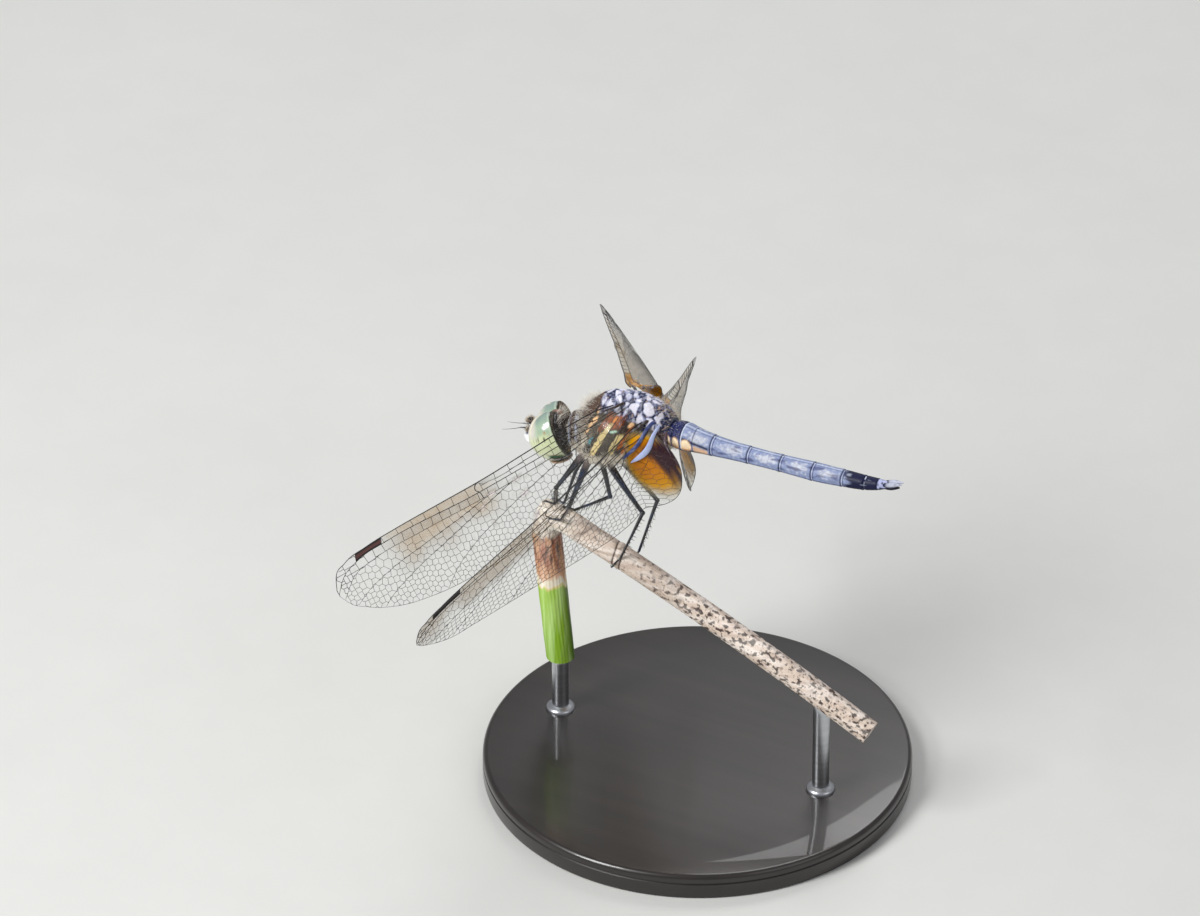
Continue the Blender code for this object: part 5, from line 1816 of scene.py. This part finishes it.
# painted shadow: a grey diagonal band across the arm just past the fold
painted_shadow_band = hump(x + 12.1 - 1.1 * np.sin(turn), 0.22)
torn = scribbles(points * np.array((0.8, 1.3, 1.3)), 0.8, 37.0, 0.04)
paint = over(
    plain(colour(246, 229, 218), len(x)),
    (clamp(wander(lengthwise, 0.6, 3.0) + 0.2) * 0.6, colour(255, 246, 236)),
    (clamp(wander(lengthwise, 0.35, 6.0) * 1.6) * 0.4, colour(178, 160, 154)),
    ((1 - step(np.abs(turn - 1.2), 0.5, 0.5)) * 0.35, colour(150, 138, 136)),
    (clamp((blotch - 0.5 + density * 0.36) * 5.5) * (0.35 + 0.62 * density), colour(72, 56, 52)),
    (clamp((wander(points, 0.16, 61.0) - 0.4) * 7) * density * 0.8, colour(66, 50, 46)),
    (clamp(-node_ring * 1.6), colour(80, 52, 42)),
    (clamp(dents * 1.5) * 0.5, colour(92, 66, 56)),
    (near_fold * 0.85, colour(255, 246, 236)),
    (beneath * (1 - step(x, -12.9, 0.4)) * 0.8, colour(255, 250, 240)),
    # the painted shadow band
    (painted_shadow_band * (1 - beneath) * 0.55, colour(146, 126, 118)),
    (cracks, colour(66, 44, 36)),
    (torn * near_fold * 0.85, colour(60, 42, 36)),
)
dry_finish = reed_finish("dead_stem", (0.07, 1.0, 1.0), 0.5)
dry = add_piece("reed_dead_arm", points, loft_faces(DRY_RINGS, REED_COLUMNS), dry_finish, paint)
stand_in(dry, "reed_dry", "reed_dry")

# %% [markdown]
# ## The legs
# A dragonfly's legs are a basket for catching prey: black, thin and set with rows of stiff spines.
# Each has a femur, a tibia and a small jointed foot with two claws that clings to the stem. The
# legs start from the same joints as the plain solids, but taper as the living ones do.

# %% Parts of a leg
def unit_vector(vector):
    return vector / np.linalg.norm(vector)


def leg_section(start, end, radii, bow=(0, 0, 0), sides=18, steps=26):
    """A tapered, slightly bowed tube from start to end."""
    t = np.linspace(0, 1, steps)
    path = start + (end - start) * t[:, None] + np.asarray(bow) * np.sin(math.pi * t)[:, None]
    radius = smooth_path([(r,) for r in radii], steps)[:, 0]
    return tube(path, radius, sides, up=(0.3, 0.9, 0.1))


def claw(root, way, droop):
    """A small hooked claw."""
    t = np.linspace(0, 1, 8)[:, None]
    path = root + way * 0.34 * t + droop * 0.26 * t * t
    return tube(path, np.linspace(0.055, 0.015, 8), 8, up=(0.1, 0.2, 0.97))


def clinging_foot(heel, toe):
    """Three short joints along the stem, then two claws that reach round it."""
    stops = []
    for t in (0, 0.2, 0.5, 1.0):
        x, degrees = (a + (b - a) * t for a, b in zip(heel, toe))
        stops.append(on_dry_arm(x, degrees, 0.12))
    parts = [leg_section(a, b, (0.1, 0.085, 0.115), steps=10) for a, b in zip(stops[:-1], stops[1:])]
    forwards = unit_vector(stops[3] - stops[2])
    inwards = unit_vector(dry_axis(toe[0])[0] - stops[3])
    sideways = np.cross(forwards, inwards)
    for way in (-1, 1):
        parts.append(claw(stops[3], forwards + sideways * 0.5 * way, inwards))
    return parts


def spine_rows(start, end, radius, count, long):
    """Roots, directions and lengths of two rows of spines under one section of a leg."""
    ahead = unit_vector(end - start)
    across = unit_vector(np.cross(ahead, (0.0, 0.0, 1.0)))
    below = np.cross(ahead, across)
    below = below * (0.55 if below[2] < 0 else -0.55)
    for row in (-1, 1):
        for k in range(count):
            t = 0.12 + 0.82 * (k + (0.25 if row > 0 else 0.0)) / count
            lean = across * row * 0.75 + below
            size = long * (0.7 + 0.3 * math.sin(2.4 * k + row))
            yield start + (end - start) * t + lean * radius * 0.8, lean + ahead * 0.55, size


# %% Legs
LEGS = {
    # name: hip in the body's frame, knee, (x, degrees) of heel, (x, degrees) of toe
    "leg_fore_left": ((-4.4, -0.9, -6.8), (-13.8, -2.0, 28.7), (-15.1, 10), (-15.9, 22)),
    "leg_fore_right": ((-4.4, 0.9, -6.8), (-13.6, 1.7, 28.7), (-14.7, -50), (-15.5, -55)),
    "leg_mid_left": ((-3.6, -1.2, -7.0), (-11.9, -3.0, 27.8), (-13.9, 58), (-14.8, 75)),
    "leg_mid_right": ((-3.8, 1.0, -7.0), (-9.7, 0.9, 27.3), (-13.5, -40), (-14.3, -5)),
    "leg_hind_left": ((-1.6, -0.9, -7.0), (-5.0, -1.6, 28.5), (-7.7, 50), (-8.1, 135)),
    "leg_hind_right": ((-2.1, 0.9, -7.0), (-4.9, 1.1, 28.3), (-6.9, -50), (-7.2, -120)),
}
LEG_BLACK, LEG_BLUE, HIP_GREY = colour(16, 17, 22), colour(42, 58, 96), colour(126, 112, 104)
FEMUR_RADII = (0.36, 0.34, 0.28, 0.22, 0.2)
TIBIA_RADII = (0.19, 0.16, 0.13, 0.12, 0.13)
KNEE_RADIUS = 0.24
leg_finish = grained("leg_horn", 2400.0, strength=0.25, roughness=0.26, coat=0.8)
spines = []
for name, (hip, knee, heel, toe) in LEGS.items():
    out = np.array((0.0, -1.0 if "left" in name else 1.0, 0.0))
    hip = moved(BODY, [hip])[0]
    knee = np.array(knee)
    heel_at = on_dry_arm(*heel, 0.2)
    inward = hip + (knee - hip) * -0.12
    femur = leg_section(inward, knee, FEMUR_RADII, out * 0.12)
    tibia = leg_section(knee, heel_at, TIBIA_RADII, out * -0.06)
    joint, joint_faces = ball(16, 12)
    joint = (joint * KNEE_RADIUS + knee, joint_faces)
    points, faces = joined([femur, joint, tibia, *clinging_foot(heel, toe)])
    sheen = clamp(wander(points, 0.9, 3.0) * 1.3 + 0.15)
    near_hip = 1 - step(np.linalg.norm(points - hip, axis=1), 0.7, 0.8)
    paint = over(plain(LEG_BLACK, len(points)), (sheen * 0.55, LEG_BLUE), (near_hip * 0.7, HIP_GREY))
    leg = add_piece(name, points, faces, leg_finish, paint)
    stand_in(leg, "legs", *[f"{name}_{part}" for part in ("femur", "tibia", "tarsus")])
    spines.extend(spine_rows(hip, knee, 0.26, 9, 0.42))
    spines.extend(spine_rows(knee, heel_at, 0.14, 11, 0.75))
print(len(spines), "spines")

# %% [markdown]
# ## Spines and hairs
# Spines and hairs are the same thing at different sizes: a thin pointed cone, bent a little, that
# stands on the skin. One small blank serves for both. A Geometry Nodes tree puts a copy of it at
# every root point, turned to the direction and scaled to the length stored there. Roots and
# directions are worked out first, from the painted skins, because the hair of an insect lies back
# along its body and is longest where its plates meet.

# %% The blank and its tree
def blank(name, segments, sides, bend):
    """A tapered hair 1 unit long along Z and 1 unit wide at its root, bent towards X."""
    rows = []
    for k in range(segments + 1):
        t = k / segments
        width = 0.5 * (1.0 - t) ** 0.6 if k < segments else 0.02
        for angle in ring_turns(sides):
            rows.append((bend * t * t + width * math.cos(angle), width * math.sin(angle), t))
    mesh = bpy.data.meshes.new(name)
    mesh.from_pydata(rows, [], loft_faces(segments + 1, sides))
    return bpy.data.objects.new(name, mesh)


bristles, start, end = new_geometry_tree(
    "bristles", (("Blank", "Object"), ("Width", "Float", 0.00005), ("Finish", "Material"))
)
shape = add_node(bristles, "GeometryNodeObjectInfo", {"Object": start.outputs["Blank"]}).outputs["Geometry"]
upright = {"Vector": stored_value(bristles, "way", "FLOAT_VECTOR")}
upright = add_node(bristles, "FunctionNodeAlignRotationToVector", upright, axis="Z").outputs[0]
spin = {"Axis": (0.0, 0.0, 1.0), "Angle": stored_value(bristles, "spin", "FLOAT")}
spin = add_node(bristles, "FunctionNodeAxisAngleToRotation", spin).outputs[0]
rotation = {0: upright, 1: spin}
rotation = add_node(bristles, "FunctionNodeRotateRotation", rotation, rotation_space="LOCAL").outputs[0]
width = start.outputs["Width"]
sizes = {"X": width, "Y": width, "Z": stored_value(bristles, "size", "FLOAT")}
sizes = add_node(bristles, "ShaderNodeCombineXYZ", sizes).outputs[0]
copies = {"Points": start.outputs["Geometry"], "Instance": shape, "Rotation": rotation, "Scale": sizes}
copies = add_node(bristles, "GeometryNodeInstanceOnPoints", copies).outputs[0]
end_tree(bristles, copies, start, end)

hair_blank = blank("hair_blank", 4, 3, 5.0)
spine_blank = blank("spine_blank", 4, 6, 0.0)


# %% Setting bristles
def add_bristles(name, roots, ways, sizes, width, shape, finish, slot, seed, paint=None, spots=None):
    """One mesh of bristles. Roots and sizes are in millimetres, spots are places on the skin's map."""
    chooser = np.random.default_rng(seed)
    count = len(roots)
    mesh = new_mesh(name, roots, [], [])
    store(mesh, "way", "FLOAT_VECTOR", ways)
    store(mesh, "size", "FLOAT", np.asarray(sizes, float) * MM)
    store(mesh, "spin", "FLOAT", chooser.uniform(0, TURN, count))
    if paint is not None:
        store_paint(mesh, paint)
    piece = in_scene(name, mesh)
    run_tree(piece, bristles, Blank=shape, Width=width * MM, Finish=finish)
    if spots is not None:
        per_bristle = len(shape.data.vertices)
        patch = chooser.uniform(-0.0015, 0.0015, (count * per_bristle, 2))
        places = np.repeat(np.asarray(spots), per_bristle, axis=0) + patch
        loops = np.zeros(len(piece.data.loops), int)
        piece.data.loops.foreach_get("vertex_index", loops)
        layer = piece.data.uv_layers.new(name="OFBake")
        layer.data.foreach_set("uv", clamp(places[loops]).ravel())
    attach(piece, "root")
    print(name, count, "bristles", len(piece.data.polygons), "faces")


spine_finish, tree, shader = new_material("spine_horn", roughness=0.55, specular=0.3)
add_grain(tree, shader, colour(24, 24, 28), 3200.0, 0.2, 0.2, 0.01)
add_bristles("leg_spines", *zip(*spines), 0.075, spine_blank, spine_finish, "legs", 3)

# %% [markdown]
# ## The coat of hair
# Fine pale hair covers the front and underside of the thorax and fans out from the back of the
# head. Each coat starts from the points of a skin: a share of them, chosen at random but more
# often where the coat is dense, becomes roots. A hair's direction is the skin's own normal, laid
# over towards the tail, with a little disorder. One chooser serves all coats, one after another.

# %% Growing a coat
HAIR_PALE = colour(250, 243, 230)
HAIR_TAN = colour(206, 184, 152)
BODY_BACK = np.array(BODY.to_3x3() @ Vector((1.0, 0.0, 0.0)))
coat_finish = grained("coat_hair", 3200.0, bump=0.2, depth=0.01, roughness=0.55, specular=0.3)
chooser = np.random.default_rng(21)


def read_layer(layer, field, count, width):
    """The values of a mesh's layer as rows of an array."""
    values = np.empty(count * width)
    layer.foreach_get(field, values)
    return values.reshape(-1, width)


def skin_samples(piece, chance):
    """Points of a skin chosen with the given chances, with their normals, colours and map places."""
    mesh = piece.data
    count = len(mesh.vertices)
    points = read_layer(mesh.vertices, "co", count, 3) / MM
    normals = read_layer(mesh.vertex_normals, "vector", count, 3)
    shades = read_layer(mesh.attributes["paint"].data, "color", count, 4)[:, :3]
    chosen = chooser.random(count) < chance(points, normals)
    low, high = points.min(0), points.max(0)
    around = (np.arctan2(normals[:, 1], normals[:, 2]) / TURN) % 1.0
    spots = np.stack([(points[:, 0] - low[0]) / (high[0] - low[0]), around], 1)
    return points[chosen], normals[chosen], shades[chosen], spots[chosen]


def laid_over(normals, towards, lie, disorder):
    """Directions between standing up, lie 0, and lying along the given direction, lie 1."""
    towards = unit_vector(np.asarray(towards, float))
    lie = np.broadcast_to(lie, len(normals))[:, None]
    ways = normals * (1 - lie) + towards * lie
    ways += chooser.normal(0, disorder, ways.shape)
    return ways / np.linalg.norm(ways, axis=1)[:, None]


def head_way(x, z):
    """A direction given in the head's frame."""
    return np.array(HEAD.to_3x3() @ Vector((x, 0.0, z)))


def head_z(points):
    return moved(TO_HEAD, points)[:, 2]


def grow(name, skin, slot, seed, chance, length, sizes, lie, towards, disorder, shade, tones, width, sunk):
    """A coat on one skin. Chance, length and lie are worked out where the hairs may stand."""
    roots, normals, _, spots = skin_samples(skin, chance)
    long = length(roots) * chooser.uniform(*sizes, len(roots))
    ways = laid_over(normals, towards, lie(roots), disorder)
    shades = plain(shade, len(roots))
    if tones:
        shades = shades * chooser.uniform(*tones, (len(roots), 1))
    roots = roots - normals * sunk
    add_bristles(name, roots, ways, long, width, hair_blank, coat_finish, slot, seed, shades, spots)


# %% The coat of the thorax
def thorax_chance(points, normals):
    """Dense on the front and underside, thin on the flanks, long hair at both ends on top."""
    x, y, z = moved(TO_BODY, points).T
    front = 1 - step(x, -2.4, 1.6)
    beneath = 1 - step(z, -5.2, 1.6)
    behind = step(x, 2.9, 1.6) * step(z, -2.6, 1.5)
    return np.clip(0.5 * front + 0.5 * beneath + 0.12 * behind + 0.02, 0, 0.62) * 0.24


roots, normals, skin_shades, spots = skin_samples(thorax, thorax_chance)
x, y, z = moved(TO_BODY, roots).T
long = 0.3 + 0.75 * (1 - step(x, -2.2, 1.8)) * step(z, -4.5, 3.0)
long = long + 0.35 * (1 - step(z, -5.4, 1.6)) + 0.3 * step(x, 3.2, 1.4)
long *= chooser.uniform(0.55, 1.1, len(roots))
ways = laid_over(normals, BODY_BACK, 0.45 + 0.2 * step(z, -2.0, 3.0) * step(x, -2.0, 2.0), 0.2)
front_top = ((1 - step(x, -1.9, 1.2)) * step(z, -3.6, 1.5))[:, None]
upright = normals * 0.9 + chooser.normal(0, 0.22, ways.shape) - BODY_BACK * 0.25
ways = ways * (1 - front_top) + upright * front_top
shade = plain(HAIR_PALE, len(roots)) * chooser.uniform(0.7, 1.1, (len(roots), 1))
tan_back = clamp(step(x, 1.5, 2.0) * step(z, -3.0, 1.0)) * 0.8
shade = over(shade, (tan_back, HAIR_TAN)) * 0.9 + skin_shades * 0.1
roots = roots - normals * 0.03
add_bristles("thorax_coat", roots, ways, long, 0.026, hair_blank, coat_finish, "thorax", 5, shade, spots)

# %% The other coats
grow(
    "collar_coat", collar, "thorax", 6, width=0.024, sunk=0.03,
    chance=lambda points, normals: 0.2,
    length=lambda roots: 0.22 + 0.3 * step(np.abs(moved(TO_BODY, roots)[:, 1]), 1.0, 0.6),
    lie=lambda roots: 0.4,
    sizes=(0.6, 1.1), towards=BODY_BACK, disorder=0.28, shade=HAIR_PALE, tones=(0.55, 1.0),
)


def skull_chance(points, normals):
    x, y, z = moved(TO_HEAD, points).T
    return clamp(step(x, 0.75, 0.3) * (0.15 + 0.85 * step(z, 0.9, 0.8))) * 0.3


grow(
    "head_coat", skull, "head_black", 7, skull_chance, width=0.025, sunk=0.03,
    length=lambda roots: 0.3 + 0.65 * step(head_z(roots), 0.9, 0.9),
    lie=lambda roots: 0.35 + 0.25 * step(head_z(roots), 0.9, 0.9),
    sizes=(0.5, 1.1), towards=head_way(0.75, 0.65), disorder=0.25, shade=HAIR_PALE, tones=(0.6, 1.05),
)


def face_chance(points, normals):
    x, y, z = moved(TO_HEAD, points).T
    return step(-x, 1.9, 0.5) * (0.012 + 0.3 * step(z, 0.42, 0.2) + 0.04 * (1 - step(z, -1.8, 0.4)))


grow(
    "face_coat", face, "face", 8, face_chance, width=0.026, sunk=0.02,
    length=lambda roots: 0.14 + 0.32 * step(head_z(roots), 0.4, 0.2),
    lie=lambda roots: 0.25,
    sizes=(0.5, 1.2), towards=head_way(-0.5, 0.8), disorder=0.2, shade=darker(HAIR_TAN, 0.6), tones=None,
)
grow(
    "crown_coat", vertex, "head_black", 10, width=0.02, sunk=0.02,
    chance=lambda points, normals: (normals[:, 2] > -0.2) * 0.12,
    length=lambda roots: 0.34,
    lie=lambda roots: 0.4,
    sizes=(0.5, 1.2), towards=head_way(-0.3, 0.9), disorder=0.2, shade=darker(HAIR_TAN, 0.7), tones=None,
)


def abdomen_chance(points, normals):
    x, y, z = moved(TO_BODY, points).T
    return (1 - step(x, 6.4, 1.6)) * 0.06 + (1 - step(normals[:, 2], -0.35, 0.4)) * 0.02


grow(
    "abdomen_coat", abdomen, "abdomen", 9, abdomen_chance, width=0.018, sunk=0.02,
    length=lambda roots: 0.14 + 0.32 * (1 - step(moved(TO_BODY, roots)[:, 0], 5.6, 1.4)),
    lie=lambda roots: 0.6,
    sizes=(0.6, 1.1), towards=BODY_BACK, disorder=0.15, shade=HAIR_PALE, tones=(0.6, 1.2),
)
for spare in (hair_blank, spine_blank):
    bpy.data.objects.remove(spare)

# %% [markdown]
# ## The display stand
# A turned base of black lacquered wood and two brushed steel rods carry the reed. The base is a
# profile of a few points turned about the vertical axis, with a soft upper edge and a shallow
# bead, and the rods are turned too, each with a small collar where it enters the base.

# %% The base
def turned(profile, x, y, sides=160):
    """Points and faces of a profile of (radius, z) turned about a vertical axis at x and y."""
    turn = ring_turns(sides)
    points = []
    for radius, z in profile:
        points.append(np.stack([x + radius * np.cos(turn), y + radius * np.sin(turn), np.full(sides, z)], 1))
    return np.concatenate(points), loft_faces(len(profile), sides)


BASE_RADIUS, BASE_THICKNESS, BASE_EDGE = 20.0, 2.5, 0.5
AXIS_RADIUS = 0.05  # the small flat in the middle of the base
BEAD_DEPTH = 0.12
groove = [(BEAD_DEPTH, 0.92), (BEAD_DEPTH, 0.8), (0.0, 0.72)]  # inwards, below the top
profile = [(AXIS_RADIUS, 0.0), (BASE_RADIUS - 0.3, 0.0), (BASE_RADIUS - 0.05, 0.12), (BASE_RADIUS, 0.35)]
profile.append((BASE_RADIUS, BASE_THICKNESS - 1.0))
profile.extend((BASE_RADIUS - inwards, BASE_THICKNESS - below) for inwards, below in groove)
for k in range(9):
    angle = math.pi / 2 * k / 8
    wide, tall = BASE_EDGE * math.cos(angle), BASE_EDGE * math.sin(angle)
    profile.append((BASE_RADIUS - BASE_EDGE + wide, BASE_THICKNESS - BASE_EDGE + tall))
profile.extend((radius, BASE_THICKNESS) for radius in (15.0, 8.0, AXIS_RADIUS))
wood = streaked(
    "lacquered_wood", colour(22, 20, 19), colour(52, 46, 42), 420.0, (0.06, 1.0, 1.0), 0.12, 0.03,
    roughness=0.32, coat=0.35,
)
base = add_piece("stand_base_disc", *turned(profile, 0.0, 0.0), wood)
stand_in(base, "stand_base", "stand_base")

# %% The rods
ROD_RADIUS, ROD_SINK, REAR_ROD_X = 0.8, 0.05, 13.0
ROD_COLLAR = ((0.03, 0.0), (1.35, 0.0), (1.35, 0.25), (1.25, 0.4), (1.05, 0.48), (ROD_RADIUS, 0.62))
ROD_SHARES = (0.3, 0.5, 0.7, 0.9)
RODS = {
    # name: x, height of the top
    "stand_rod_front": (GREEN_FOOT[0], GREEN_FOOT[1] - 0.02),
    "stand_rod_rear": (REAR_ROD_X, float(dry_axis(REAR_ROD_X)[0][2]) - 0.5),
}
steel = streaked(
    "brushed_steel", colour(168, 170, 174), colour(214, 216, 220), 2600.0, (0.05, 0.05, 1.0), 0.15, 0.01,
    roughness=0.3, metallic=1.0,
)
low = BASE_THICKNESS - ROD_SINK
for name, (x, top) in RODS.items():
    profile = [(radius, low + z) for radius, z in ROD_COLLAR]
    profile += [(ROD_RADIUS, low + (top - low) * share) for share in ROD_SHARES]
    profile += [(ROD_RADIUS, top - 0.1), (ROD_RADIUS - 0.08, top), (0.03, top)]
    rod = add_piece(f"{name}_steel", *turned(profile, x, REED_Y, 64), steel)
    stand_in(rod, "stand_rod", name)

# %% [markdown]
# ## Sizes
# The box of the solids and the box of the finished model are both printed, so that the two can
# be set side by side.

# %% Sizes
visual_box = [list(corner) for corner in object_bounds()]
print("finished model reaches from", visual_box[0], "to", visual_box[1])
